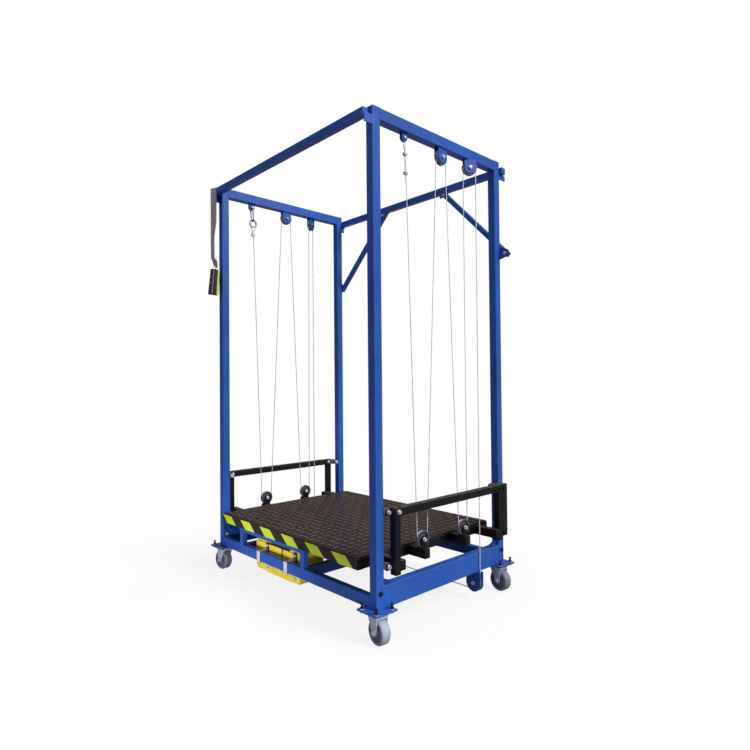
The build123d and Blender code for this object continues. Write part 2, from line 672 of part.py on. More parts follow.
def make_hoist(pieces):
    """Hoist case with gear case, motor and covers, and the rope drum between them."""
    gear_case = fillet(block(GEAR_CASE_X, HOIST_Y, HOIST_Z).edges(), HOIST_CORNER)
    motor = fillet(block(MOTOR_X, HOIST_Y, HOIST_Z).edges(), HOIST_CORNER)
    between = (GEAR_CASE_X[1] - 2 * HOIST_CORNER, MOTOR_X[0] + 2 * HOIST_CORNER)
    front_y = (HOIST_Y[0] + 1, HOIST_Y[0] + COVER)
    top_z = HOIST_Z[1] - HOIST_CORNER
    case = gear_case + motor
    case += block(between, front_y, (HOIST_Z[0] + 1, top_z))
    case += block(between, (front_y[0], DRUM_Y + DRUM_FLANGE_RADIUS), (top_z - COVER, top_z))
    rod_y = HOIST_Y[1] - 2 * HOIST_CORNER
    rod_z = top_z - 3 * TIE_ROD_RADIUS
    case += rod((between[0], rod_y, rod_z), (between[1], rod_y, rod_z), TIE_ROD_RADIUS)
    half = (MOTOR_X[0] - GEAR_CASE_X[1]) / 2
    bore_half = half + DRUM_JOURNAL
    bore = (HOIST_X - bore_half, DRUM_Y, DRUM_Z)
    case -= rod(bore, (HOIST_X + bore_half, DRUM_Y, DRUM_Z), DRUM_SHAFT_RADIUS + RUNNING_GAP)
    pieces["winch_case"] = [case]
    pieces["winch_drum"] = [winch_drum(half)]


def winch_drum(half):
    """Hollow drum with flanges on a shaft; half is half the space between gear case and motor."""
    outer = half - DRUM_END_GAP
    inner = outer - DRUM_FLANGE
    barrel = DRUM_PITCH_RADIUS - ROPE_RADIUS - FREE_GAP
    journal = outer + DRUM_JOURNAL
    half_profile = [
        (0, journal),
        (DRUM_SHAFT_RADIUS, journal),
        (DRUM_SHAFT_RADIUS, outer),
        (DRUM_FLANGE_RADIUS, outer),
        (DRUM_FLANGE_RADIUS, inner),
        (barrel, inner),
    ]
    profile = half_profile + [(radius, -x) for radius, x in reversed(half_profile)]
    drum = turned(profile, (0, 0, 0), (0, 0, 1))
    hollow = [(DRUM_SHAFT_RADIUS, -inner), (barrel - DRUM_WALL, -inner), (barrel - DRUM_WALL, inner)]
    drum -= turned([*hollow, (DRUM_SHAFT_RADIUS, inner)], (0, 0, 0), (0, 0, 1))
    for place in PolarLocations(DRUM_HOLE_CIRCLE, DRUM_HOLES):
        drum -= place * Cylinder(DRUM_HOLE_RADIUS, 2 * journal)
    return Plane((HOIST_X, DRUM_Y, DRUM_Z), z_dir=(1, 0, 0)) * drum


# Ropes

def drum_point(turn, sign):
    """Point of the wound rope after a number of turns from the underside of the drum."""
    angle = 2 * pi * turn
    x = HOIST_X + sign * (LEAD_SPACING / 2 + turn * (2 * ROPE_RADIUS + TURN_GAP))
    return Vector(x, DRUM_Y - DRUM_PITCH_RADIUS * sin(angle), DRUM_Z - DRUM_PITCH_RADIUS * cos(angle))


def drum_tangent(turn, sign):
    """Direction of the wound rope after a number of turns; it starts level, square to the drum."""
    angle = 2 * pi * turn
    lead = sign * (2 * ROPE_RADIUS + TURN_GAP) / (2 * pi * DRUM_PITCH_RADIUS) if turn else 0
    return Vector(lead, -cos(angle), sin(angle)).normalized()


def biarc(start, start_way, end, end_way):
    """Two arcs that join two points smoothly in two given directions."""
    chord = end - start
    ways = start_way + end_way
    bend = 2 * (1 - start_way.dot(end_way))
    along = chord.dot(ways)
    reach = (-along + (along ** 2 + bend * chord.dot(chord)) ** 0.5) / bend
    joint = (start + start_way * reach + end - end_way * reach) * 0.5
    return [TangentArc(start, joint, tangent=start_way), TangentArc(end, joint, tangent=end_way * -1)]


def winding(sign):
    """Dead turns of one rope on the drum, a quarter turn at a time."""
    arcs = []
    for quarter in range(4 * DEAD_TURNS):
        now = quarter / 4
        then = now + 1 / 4
        start = (drum_point(now, sign), drum_tangent(now, sign))
        end = (drum_point(then, sign), drum_tangent(then, sign))
        arcs += biarc(*start, *end)
    return arcs


def arc_round(centre, start_way, end_way):
    """Quarter or half circle of rope round a sheave between two directions from its centre."""
    centre = Vector(*centre)
    radius = SHEAVE_PITCH_RADIUS
    start_way = Vector(*start_way)
    end_way = Vector(*end_way)
    middle_way = (start_way + end_way).normalized()
    return ThreePointArc(centre + start_way * radius, centre + middle_way * radius, centre + end_way * radius)


def rope_route(sign):
    """Route of one rope from the turned top sheave down, under the base and onto the drum."""
    across = Vector(sign * TOP_REAR_ACROSS.X, TOP_REAR_ACROSS.Y, 0)
    top = Vector(sign * TOP_REAR_SHEAVE[0], TOP_REAR_SHEAVE[1], TOP_SHEAVE_Z)
    base = (sign * BASE_SHEAVE_X, RUN_Y, BASE_SHEAVE_Z)
    lead = (HOIST_X + sign * (LEAD_SPACING / 2 + SHEAVE_PITCH_RADIUS), LEAD_Y, RUN_Z)
    up = Vector(0, 0, 1)
    rise = arc_round(top, across * -1, up)
    fall = arc_round(top, up, across)
    under = arc_round(base, (sign, 0, 0), (0, 0, -1))
    turn = arc_round(lead, (0, 1, 0), (-sign, 0, 0))
    drop = Line(fall @ 1, under @ 0)
    along = Line(under @ 1, turn @ 0)
    home = Line(turn @ 1, drum_point(0, sign))
    return [rise, fall, drop, under, along, turn, home] + winding(sign)


def sweep_rope(edges, start, way):
    """Round rope along a chain of edges."""
    return sweep(Plane(start, z_dir=way) * Circle(ROPE_RADIUS), path=Wire(edges))


def rope_arc(centre, up):
    """Half turn of rope over or under a sheave in the plane of the right-hand falls."""
    first = arc_round(centre, (0, -1, 0), (0, 0, up))
    second = arc_round(centre, (0, 0, up), (0, 1, 0))
    return sweep_rope([first, second], first @ 0, (0, 0, up))


def fall(low, high):
    """Straight rope between two level ends."""
    low = Vector(*low)
    along = Vector(*high) - low
    return extrude(Pos(*low) * Circle(ROPE_RADIUS), amount=along.length, dir=along)


def beside_live(z):
    """Y and Z of a dead end that lies against the live part."""
    return Vector(live_y(z) - 2 * ROPE_RADIUS - TURN_GAP, z)


def touch_point(centre, radius, outside, way):
    """Point where a line from an outside point touches a circle, on one side or the other."""
    to_outside = outside - centre
    angle = atan2(to_outside.Y, to_outside.X) + way * acos(radius / to_outside.length)
    return centre + Vector(cos(angle), sin(angle)) * radius


def sweep_eye(edges, start):
    """Rope along edges drawn in Y and Z, in the plane of the right-hand falls."""
    route = Plane.YZ.offset(ROPE_X) * Curve(edges)
    return sweep(Pos(ROPE_X, *start) * Circle(ROPE_RADIUS), path=Wire(route.edges()))


def rope_eye():
    """Loop over the right-hand anchor pin and its dead end, which lies against the live part."""
    pin = Vector(EYE_Y, EYE_Z)
    join = beside_live(EYE_Z - EYE_JOIN_DROP)
    leave = touch_point(pin, EYE_RADIUS, join, -1)
    over = ThreePointArc(pin + Vector(EYE_RADIUS, 0), pin + Vector(0, EYE_RADIUS), leave)
    tail = FilletPolyline(leave, join, beside_live(FALL_TOP_Z), radius=EYE_BEND)
    return sweep_eye([over, *tail.edges()], (LIVE_TOP_Y, EYE_Z))


def thimble_eye():
    """Loop round the thimble on the right, with the live part below it and the dead end beside that."""
    start = (live_y(FALL_TOP_Z), FALL_TOP_Z)
    join_z = EYE_Z - THIMBLE_JOIN_DROP
    live_join = Vector(live_y(join_z), join_z)
    dead_join = beside_live(join_z)
    centre = thimble_centre()
    arrive = touch_point(centre, THIMBLE_RADIUS, live_join, 1)
    leave = touch_point(centre, THIMBLE_RADIUS, dead_join, -1)
    up = FilletPolyline(start, live_join, arrive, radius=EYE_BEND)
    over = ThreePointArc(arrive, centre + Vector(0, THIMBLE_RADIUS), leave)
    tail = FilletPolyline(leave, dead_join, beside_live(EYE_Z - DEAD_END_DROP), radius=EYE_BEND)
    return sweep_eye([*up.edges(), over, *tail.edges()], start)


def print_rope_check(name, solid, edges):
    """Compare a rope's volume with its section times its length."""
    length = sum(edge.length for edge in edges)
    volume = pi * ROPE_RADIUS ** 2 * length
    print(f"{name}: length {length:.1f} mm, volume {solid.volume / volume:.4f} of section times length")


def print_turn_gap(edges, steps=24):
    """Print the least gap between neighbouring turns of a winding, from points along it."""
    points = [edge.position_at(step / steps) for edge in edges for step in range(steps)]
    apart = 4 * steps
    pairs = ((i, j) for i in range(len(points)) for j in range(i + apart, len(points)))
    least = min((points[i] - points[j]).length for i, j in pairs)
    print(f"least gap between turns on the drum: {least - 2 * ROPE_RADIUS:.2f} mm")


def make_ropes(pieces):
    """Two ropes: running parts on the frame, shortening falls and bends under the platform sheaves."""
    ropes = []
    for side, sign in SIDES.items():
        edges = rope_route(sign)
        running = sweep_rope(edges, edges[0] @ 0, (0, 0, 1))
        print_rope_check(f"{side} running rope", running, edges)
        ropes.append(running)
    print_turn_gap(winding(1))
    anchor_high = (ROPE_X, LIVE_TOP_Y, EYE_Z)
    anchor_low = (ROPE_X, live_y(FALL_TOP_Z), FALL_TOP_Z)
    ropes += [fall(anchor_low, anchor_high), rope_eye(), to_left(thimble_eye())]
    ropes += both_sides(rope_arc(top_front_centre(), 1))
    pieces["hoist_ropes"] = ropes
    r = SHEAVE_PITCH_RADIUS
    high_z = TOP_SHEAVE_Z
    low_z = PLATFORM_SHEAVE_Z
    rear_high = top_rear_centre() - TOP_REAR_ACROSS * r
    routes = [
        ((ROPE_X, PLATFORM_FRONT_SHEAVE_Y + r, low_z), (ROPE_X, TOP_FRONT_SHEAVE_Y - r, high_z)),
        ((ROPE_X, PLATFORM_REAR_SHEAVE_Y - r, low_z), (ROPE_X, TOP_FRONT_SHEAVE_Y + r, high_z)),
        ((ROPE_X, PLATFORM_REAR_SHEAVE_Y + r, low_z), (rear_high.X, rear_high.Y, high_z)),
    ]
    pieces["rope_falls"] = [copy for low, high in routes for copy in both_sides(fall(low, high))]
    pieces["anchor_falls"] = both_sides(fall((ROPE_X, LIVE_LOW_Y, low_z), anchor_low))
    bends = [rope_arc((ROPE_X, y, PLATFORM_SHEAVE_Z), -1) for y in PLATFORM_SHEAVES_Y]
    pieces["platform_rope_bends"] = [copy for bend in bends for copy in both_sides(bend)]


def make_sheaves(pieces):
    """One sheave per node, on both sides."""
    centres = {
        "front_top_sheave": (top_front_centre(), (1, 0, 0)),
        "rear_top_sheave": (top_rear_centre(), TOP_REAR_AXIS),
        "front_platform_sheave": ((ROPE_X, PLATFORM_FRONT_SHEAVE_Y, PLATFORM_SHEAVE_Z), (1, 0, 0)),
        "rear_platform_sheave": ((ROPE_X, PLATFORM_REAR_SHEAVE_Y, PLATFORM_SHEAVE_Z), (1, 0, 0)),
        "base_sheave": ((BASE_SHEAVE_X, RUN_Y, BASE_SHEAVE_Z), (0, 1, 0)),
    }
    for name, (centre, axis) in centres.items():
        wheel = sheave(centre, axis)
        pieces[f"right_{name}"] = [wheel]
        pieces[f"left_{name}"] = [to_left(wheel)]
    for side, sign in SIDES.items():
        lead_x = HOIST_X + sign * (LEAD_SPACING / 2 + SHEAVE_PITCH_RADIUS)
        pieces[f"{side}_lead_sheave"] = [sheave((lead_x, LEAD_Y, RUN_Z), (0, 0, 1))]


# Platform

def deck_arm_rows():
    """Y of the four cross arms, front to rear."""
    return [-END_ARM_Y, *PLATFORM_SHEAVES_Y, END_ARM_Y]


def make_deck(pieces):
    """Deck frame of tubes with a plate, and the mat on it."""
    z = DECK_Z + DECK_TUBE_HEIGHT / 2
    half = DECK_TUBE_WIDTH / 2
    section = (DECK_TUBE_WIDTH, DECK_TUBE_HEIGHT)
    parts = []
    for y in (DECK_FRONT_Y + half, DECK_REAR_Y - half):
        parts.append(tube((-DECK_HALF_WIDTH, y, z), (DECK_HALF_WIDTH, y, z), *section, caps=2))
    for y in deck_arm_rows():
        caps = 2 if y in PLATFORM_SHEAVES_Y else 0
        parts.append(tube((-SIDE_FRAME_X[0], y, z), (SIDE_FRAME_X[0], y, z), *section, caps=caps))
    rows = [DECK_FRONT_Y + half, *deck_arm_rows(), DECK_REAR_Y - half]
    side_x = DECK_HALF_WIDTH - half
    for near, far in zip(rows, rows[1:]):
        parts += both_sides(tube((side_x, near + half, z), (side_x, far - half, z), *section))
    plate_z = (DECK_TOP_Z, DECK_TOP_Z + DECK_PLATE)
    wide = (-DECK_HALF_WIDTH, DECK_HALF_WIDTH)
    parts.append(block(wide, (DECK_FRONT_Y, DECK_REAR_Y), plate_z))
    pieces["deck_frame"] = parts
    mat_x = DECK_HALF_WIDTH - MAT_MARGIN
    mat_y = (DECK_FRONT_Y + MAT_MARGIN, DECK_REAR_Y - MAT_MARGIN)
    pieces["deck_mat"] = [block((-mat_x, mat_x), mat_y, (plate_z[1], plate_z[1] + MAT))]


def roller_places():
    """Upper and lower guide rollers at the front and rear: node name, Y and Z."""
    for level, z in zip(("upper", "lower"), ROLLER_Z):
        for end, sign in ENDS.items():
            yield f"{end}_{level}_roller", sign * ROLLER_Y, z


def roller_tab(sign, z):
    """Plate at one end of the right-hand side frame that carries a roller's bolt."""
    root = SIDE_FRAME_HALF_LENGTH - WALL
    tip = SIDE_FRAME_HALF_LENGTH + ROLLER_TAB_REACH
    tall = (z - ROLLER_TAB_HEIGHT / 2, z + ROLLER_TAB_HEIGHT / 2)
    return block((SIDE_FRAME_X[0], SIDE_FRAME_X[0] + ROLLER_TAB), (sign * root, sign * tip), tall)


def side_frame(tab_ends):
    """Right-hand side frame: rail on two uprights, with blocks against the end arms."""
    middle_x = sum(SIDE_FRAME_X) / 2
    width = SIDE_FRAME_WIDTH
    rail_z = SIDE_RAIL_Z + width / 2
    length = SIDE_FRAME_HALF_LENGTH
    rail = tube((middle_x, -length, rail_z), (middle_x, length, rail_z), width, width, caps=2)
    block_y = (END_ARM_Y - DECK_TUBE_WIDTH / 2, length - UPRIGHT)
    parts = []
    for sign in ENDS.values():
        y = sign * (length - UPRIGHT / 2)
        upright_low = (middle_x, y, DECK_Z - UPRIGHT_FOOT_DROP)
        upright = tube((middle_x, y, SIDE_RAIL_Z), upright_low, width, UPRIGHT, caps=1)
        if sign in tab_ends:
            rail += roller_tab(sign, ROLLER_Z[0])
            upright += roller_tab(sign, ROLLER_Z[1])
        foot_z = DECK_Z + DECK_TUBE_HEIGHT / 2
        near, far = (middle_x, sign * block_y[1], foot_z), (middle_x, sign * block_y[0], foot_z)
        parts += [upright, tube(near, far, width, DECK_TUBE_HEIGHT, caps=1)]
    return [rail, *parts]


def guard():
    """Upright tube behind the rear end of the right-hand side frame."""
    width = SIDE_FRAME_WIDTH
    place = (sum(SIDE_FRAME_X) / 2, SIDE_FRAME_HALF_LENGTH + GUARD_WIDTH / 2)
    return tube((*place, GUARD_LOW_Z), (*place, SIDE_RAIL_Z + width), width, GUARD_WIDTH, caps=1)


def rail_bolt_places():
    """Y and Z of the bolts through the two ends of a rail."""
    z = SIDE_RAIL_Z + SIDE_FRAME_WIDTH / 2
    return [(sign * (SIDE_FRAME_HALF_LENGTH - RAIL_BOLT_INSET), z) for sign in ENDS.values()]


def drilled(part):
    """Part of a side frame with the holes for roller bolts and rail bolts."""
    places = [place[1:] for place in roller_places()] + rail_bolt_places()
    for y, z in places:
        part -= rod((SIDE_FRAME_X[0] - 1, y, z), (SIDE_FRAME_X[1] + 1, y, z), PIN_RADIUS + HOLE_GAP)
    return part


def make_side_frames(pieces):
    """Side frames, guide rollers, platform sheave blocks and the platform's bolts."""
    front, rear = ENDS.values()
    pieces["right_side_frame"] = [drilled(part) for part in [*side_frame([front]), guard()]]
    pieces["left_side_frame"] = [to_left(drilled(part)) for part in side_frame([front, rear])]
    bore = PIN_RADIUS + RUNNING_GAP
    wide = ROLLER_X[1] - ROLLER_X[0]
    tread = wide - ROLLER_FLANGE
    profile = [
        (bore, 0),
        (ROLLER_RADIUS - 2, 0),
        (ROLLER_RADIUS, 2),
        (ROLLER_RADIUS, tread),
        (ROLLER_FLANGE_RADIUS, tread),
        (ROLLER_FLANGE_RADIUS, wide - 2),
        (ROLLER_FLANGE_RADIUS - 2, wide),
        (bore, wide),
    ]
    bolts = []
    for name, y, z in roller_places():
        roller = turned(profile, (ROLLER_X[0], y, z), (1, 0, 0))
        pieces[f"right_{name}"] = [roller]
        pieces[f"left_{name}"] = [to_left(roller)]
        nut_at = (ROLLER_X[0] - CHEEK_GAP, y, z)
        tab_bolt = bolt((SIDE_FRAME_X[0] + ROLLER_TAB, y, z), nut_at)
        guard_bolt = bolt((SIDE_FRAME_X[1], y, z), nut_at)
        bolts += [guard_bolt if y > 0 else tab_bolt, to_left(tab_bolt)]
    for y, z in rail_bolt_places():
        bolts += both_sides(bolt((SIDE_FRAME_X[1], y, z), (SIDE_FRAME_X[0], y, z)))
    plates = []
    for y in PLATFORM_SHEAVES_Y:
        centre = (ROPE_X, y, PLATFORM_SHEAVE_Z)
        bolts += both_sides(sheave_bolt(centre, (1, 0, 0)))
        for plate in cheeks(centre, (1, 0, 0), DECK_TOP_Z - PLATFORM_SHEAVE_Z):
            plates += both_sides(plate)
    pieces["platform_bolts"] = bolts
    pieces["platform_blocks"] = plates


# Casters

def caster_fork():
    """Fork with raceway and king pin; the wheel trails along +X from the king pin."""
    top = CASTER_HEIGHT - FREE_GAP
    inner = HUB_WIDTH / 2 + FORK_GAP
    outer = inner + FORK_PLATE
    shape = block(FORK_CROWN_X, (-outer, outer), (FORK_CROWN_Z, RACEWAY_Z))
    shape += Pos(0, 0, (RACEWAY_Z + top) / 2) * Cylinder(RACEWAY_RADIUS, top - RACEWAY_Z)
    pin_top = BASE_Z - CHEEK_GAP
    shape += Pos(0, 0, (top + pin_top) / 2) * Cylinder(KING_PIN_RADIUS, pin_top - top)
    axle = (CASTER_TRAIL, WHEEL_RADIUS)
    foot = FORK_FOOT_RADIUS
    corners = [(x, RACEWAY_Z) for x in FORK_CROWN_X]
    corners += [(axle[0] + foot, axle[1]), (axle[0] - foot, axle[1])]
    leg = make_face(Polyline(*corners, close=True))
    leg += Pos(*axle) * Circle(foot)
    leg -= Pos(*axle) * Circle(PIN_RADIUS + HOLE_GAP)
    plane = Plane.XZ
    shape += extrude(plane.offset(inner) * leg, FORK_PLATE)
    shape += extrude(plane.offset(-outer) * leg, FORK_PLATE)
    axle_bolt = bolt((axle[0], -outer, axle[1]), (axle[0], outer, axle[1]))
    return [shape, axle_bolt]


def caster_wheel():
    """Wheel with a wide tread and a narrower web."""
    bore = PIN_RADIUS + RUNNING_GAP
    hub = HUB_WIDTH / 2
    half = WHEEL_WIDTH / 2
    low = [
        (bore, -hub),
        (HUB_RADIUS, -hub),
        (HUB_RADIUS, -WEB_HALF_WIDTHS[0]),
        (TREAD_INNER_RADIUS - 1, -WEB_HALF_WIDTHS[1]),
        (TREAD_INNER_RADIUS + 1, -half),
        (WHEEL_RADIUS - TREAD_SHOULDER[0], -half),
        (WHEEL_RADIUS, -half + TREAD_SHOULDER[1]),
    ]
    high = [(radius, -height) for radius, height in reversed(low)]
    return turned(low + high, (CASTER_TRAIL, 0, WHEEL_RADIUS), (0, 1, 0))


def make_casters(pieces):
    """Four casters, each turned to its own trailing direction."""
    fork = caster_fork()
    wheel = caster_wheel()
    for end, end_sign in ENDS.items():
        angle = FRONT_TRAIL_ANGLE if end_sign < 0 else REAR_TRAIL_ANGLE
        place = Pos(POST_X, end_sign * POST_Y, 0) * Rot(0, 0, angle)
        right_fork = [place * part for part in fork]
        right_wheel = place * wheel
        pieces[f"{end}_right_fork"] = right_fork
        pieces[f"{end}_left_fork"] = [to_left(part) for part in right_fork]
        pieces[f"{end}_right_wheel"] = [right_wheel]
        pieces[f"{end}_left_wheel"] = [to_left(right_wheel)]


# Hand control

def pendant_strap():
    """Webbing over the front top beam; it hangs askew in front of the beam's seat."""
    back_y = -OUTER_Y - CROSS_BEAM
    beam_top = FRONT_BEAM_Z + CROSS_BEAM
    left, right = STRAP_X
    face = [(left, FRONT_Y), (right, back_y - STRAP)]
    taper_z = FRONT_BEAM_Z - STRAP_TAPER_DROP
    over = make_face(Polyline(*face, (right, STRAP_BACK_Y), (left, STRAP_BACK_Y), close=True))
    strap = Pos(0, 0, beam_top) * extrude(over, STRAP)
    hanging = make_face(Polyline(*face, (right, back_y), (left, FRONT_Y + STRAP), close=True))
    strap += Pos(0, 0, taper_z) * extrude(hanging, beam_top - taper_z)
    end_y = FRONT_Y + BUTTON_PROUD + CONTROL_DEPTH / 2
    end_z = CONTROL_TOP_Z + STRAP_END_WIDTH / 2 * tan(radians(CONTROL_TILT))
    end = Pos(CONTROL_X, end_y, end_z) * Rectangle(STRAP_END_WIDTH, STRAP)
    return strap + loft([Pos(0, 0, taper_z) * hanging, end])


def make_control(pieces):
    """Webbing strap over the front top beam and the hand control that hangs in it."""
    pieces["pendant_strap"] = [pendant_strap()]
    hang_y = FRONT_Y + BUTTON_PROUD + CONTROL_DEPTH / 2
    hang = Pos(CONTROL_X, hang_y, CONTROL_TOP_Z) * Rot(0, CONTROL_TILT, 0)
    face_y = -CONTROL_DEPTH / 2
    flat = Plane.XZ.offset(-face_y)
    top, foot = [width / 2 for width in CONTROL_WIDTHS]
    outline = [(-top, 0), (top, 0), (foot, -CONTROL_HEIGHT), (-foot, -CONTROL_HEIGHT)]
    case = extrude(flat * make_face(Polyline(*outline, close=True)), -CONTROL_DEPTH)
    case = fillet(case.edges(), CONTROL_CORNER)
    well = BUTTON_LENGTH - BUTTON_PROUD + BUTTON_TRAVEL + CHEEK_GAP
    for name, depth in zip(("up_button", "down_button"), BUTTON_DEPTHS):
        case -= Pos(0, 0, -depth) * extrude(flat.offset(-well) * Circle(BUTTON_RADIUS + FREE_GAP), well)
        inside = BUTTON_LENGTH - BUTTON_PROUD
        cap = extrude(flat.offset(-inside) * Circle(BUTTON_RADIUS), BUTTON_LENGTH)
        pieces[name] = [hang * Pos(0, 0, -depth) * cap]
    pieces["pendant_case"] = [hang * case]


# Build and export

def main():
    pieces = {}
    make_frame(pieces)
    make_frame_plates(pieces)
    make_frame_hardware(pieces)
    make_cradle(pieces)
    make_hoist(pieces)
    make_ropes(pieces)
    make_sheaves(pieces)
    make_deck(pieces)
    make_side_frames(pieces)
    make_casters(pieces)
    make_control(pieces)
    os.makedirs("parts", exist_ok=True)
    for name, shapes in pieces.items():
        solids = [solid for shape in shapes for solid in shape.solids()]
        shape = solids[0] if len(solids) == 1 else Compound(solids)
        export_step(shape, f"parts/{name}.step")
    print(f"{len(pieces)} nodes, lift {LIFT:.1f} mm")


main()
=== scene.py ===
"""Looks of a four-post wire-rope platform lift: materials, ropes, strap, mat and a pale studio.

Metres, in the frame of the CAD model: +Z up, the front is -Y, the floor is at zero.
"""
from math import cos, pi, radians, sin

import bmesh
import bpy
from mathutils import Matrix, Vector


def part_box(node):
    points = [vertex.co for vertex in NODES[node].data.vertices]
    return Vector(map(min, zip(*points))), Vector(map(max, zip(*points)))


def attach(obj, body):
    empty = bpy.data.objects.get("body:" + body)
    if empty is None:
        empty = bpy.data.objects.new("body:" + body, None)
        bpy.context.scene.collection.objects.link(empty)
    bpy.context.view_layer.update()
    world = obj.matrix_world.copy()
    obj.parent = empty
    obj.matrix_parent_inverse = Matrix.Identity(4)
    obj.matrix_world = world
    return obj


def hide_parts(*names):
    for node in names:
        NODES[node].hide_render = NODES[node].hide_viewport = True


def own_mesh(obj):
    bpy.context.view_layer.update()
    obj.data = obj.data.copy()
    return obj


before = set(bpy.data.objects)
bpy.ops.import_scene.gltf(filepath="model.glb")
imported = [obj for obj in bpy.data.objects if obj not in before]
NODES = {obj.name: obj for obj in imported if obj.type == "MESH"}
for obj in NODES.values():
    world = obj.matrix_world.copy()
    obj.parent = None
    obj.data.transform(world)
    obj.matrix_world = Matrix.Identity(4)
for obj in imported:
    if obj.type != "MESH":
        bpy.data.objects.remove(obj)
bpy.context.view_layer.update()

# Directions
LEFT = (-1, 0, 0)
RIGHT = (1, 0, 0)
FORWARD = (0, -1, 0)
BACK = (0, 1, 0)

# Camera
CAMERA_AT = (2.699, -2.321, 1.2395)
CAMERA_YAW = 46.953
CAMERA_PITCH = 0.938
CAMERA_ROLL = -0.49
CAMERA_LENS = 26.54
CAMERA_SENSOR = 36.0
CAMERA_CLIP_END = 200.0

# Lights: suns are name, azimuth, elevation, strength, softness in degrees and colour
WHITE = (1.0, 1.0, 1.0)
SUNS = (
    ("key_light", 105.0, 38.0, 3.1, 30.0, WHITE),
    ("front_light", 5.0, 14.0, 0.46, 30.0, (1.0, 0.84, 1.0)),
    ("top_light", 0.0, 88.0, 0.7, 60.0, WHITE),
)

# Low lights on the hoist: place, target, power and cone in degrees
LOW_SPOTS = (
    ((0.15, -1.75, 0.12), (-0.30, -0.46, 0.15), 68.0, 52.0),
    ((1.90, -1.30, 0.09), (0.00, -0.36, 0.16), 75.0, 20.0),
)
LOW_SPOT_RADIUS = 0.25

# World and floor: strengths and colours of light, and the distances where the floor turns white
AMBIENT_COLOUR = (0.95, 0.86, 1.0)
AMBIENT_STRENGTH = 0.15
BACKDROP_STRENGTH = 0.2
BACKDROP_EDGE = (-0.1, 0.5)
FLOOR_SIZE = 60.0
FLOOR_TONES = ((0.20, 0.18, 0.21, 1.0), (0.23, 0.21, 0.24, 1.0))
FLOOR_SEEN = (0.9, 0.9, 0.9, 1.0)
FLOOR_FADE = (1.2, 3.0)
FLOOR_GLOW = (0.85, 1.0)

# Ropes and sheaves: the turned sheave's place is (x, y) and the anchor's is (y, z)
ROPE_RADIUS = 0.0025
ROPE_X = 0.751
SHEAVE_RADIUS = 0.038
PLATFORM_SHEAVE_Z = 0.433
TOP_SHEAVE_Z = 2.478
FRONT_SHEAVE_Y = -0.175
REAR_SHEAVE_Y = 0.165
TOP_SHEAVE_Y = 0.005
TURNED_SHEAVE = (0.764, 0.243)
TURNED_ANGLE = radians(30.0)
ANCHOR_TOP = (-0.277, 2.499)
FALL_TOP_Z = 2.280
SHEAVE_RIM = (0.0392, 0.0402)
SHEAVE_GROOVE = (0.0062, 0.0052)
TURNING_PITCH = 0.0009
STRANDS = 6
STRAND_GROOVE = 0.84
LAY_LENGTH = 0.042
RING_STEP = 0.007

# Casters: radii where the tread begins and the hub ends, and turns of the axles in degrees
TREAD_EDGE = (0.0572, 0.0592)
HUB_EDGE = (0.0452, 0.0442)
AXLE_TURNS = {"front": -8.0, "rear": -5.0}

# Deck: the profile of the mat's bars is shares of their size and height
DECK_FRONT_Y = -0.555
DECK_LOW_Z = 0.338
DECK_PLATE_TOP_Z = 0.391
DECK_HALF_WIDTH = 0.673
DECK_EDGE_RADIUS = 0.004
MAT_TOP_Z = 0.399
MAT_HALF_WIDTH = 0.669
MAT_Y = (-0.551, 0.496)
BAR_PITCH = 0.052
BAR_LENGTH = 0.052
BAR_WIDTH = 0.018
BAR_HEIGHT = 0.0032
BAR_CORNERS = 10
BAR_POINT = 0.4
BAR_PROFILE = ((1.0, -0.0625), (0.9, 0.85), (0.76, 1.0))
STRIPE_PITCH = 0.2288
STRIPE_WIDTH = 0.1125
STRIPE_START = -0.6765
STRIPE_LEAN = 1.17
TAPE_PROUD = 0.0004
TAPE_TOP_GAP = 0.0005
TAPE_END_GAP = 0.002
TAPE_LEAST_WIDTH = 0.004
TAPE_WRAP = radians(80.0)
TAPE_WRAP_STEPS = 4

# Strap: stations down it are height, left edge (x, y) and right edge (x, y)
STRAP_WIDTH = 0.051
STRAP_THICKNESS = 0.0024
STRAP_BACK_Y = -0.530
STRAP_TOP_Z = 2.5743
STRAP_BEND = 0.004
STRAP_BEND_STEPS = 5
STRAP_STATIONS = (
    (2.5703, (-0.777, -0.5835), (-0.729, -0.5665)),
    (2.360, (-0.777, -0.5835), (-0.729, -0.5665)),
    (2.220, (-0.7775, -0.5835), (-0.744, -0.5745)),
    (2.105, (-0.777, -0.582), (-0.744, -0.574)),
    (2.065, (-0.768, -0.573), (-0.722, -0.565)),
    (2.030, (-0.745, -0.566), (-0.724, -0.561)),
)
STRAP_STEPS = 14
STRAP_COLUMNS = 7
WEAVE_PITCH = 0.0022
YARN_PITCH = 0.0034

# Hand control: buttons are name, distance below its top and way of the arrow
CONTROL_AT = (-0.755, -0.563, 2.025)
CONTROL_TILT = radians(11.0)
CONTROL_HALF_DEPTH = 0.018
CONTROL_BAND = 0.0125
CONTROL_SPLIT = 0.001
CONTROL_SEAM = (0.0004, 0.0012)
RING_AT = (-0.766, -0.5635, 2.037)
RING_HALF = (0.013, 0.019)
RING_WIRE = 0.0017
RING_STEPS = 32
RING_CORNERS = 8
STRIP_SIZE = (0.019, 0.158)
STRIP_AT = (0.0195, 0.0875)
STRIP_RADIUS = 0.003
STRIP_HEIGHT = 0.0008
BUTTONS = (("up_button", 0.055, -1), ("down_button", 0.095, 1))
BUTTON_PROUD = 0.004
ARROW_HALF_WIDTH = 0.006
ARROW_BACK = 0.0035
ARROW_TIP = 0.006
ARROW_HEIGHT = 0.0005

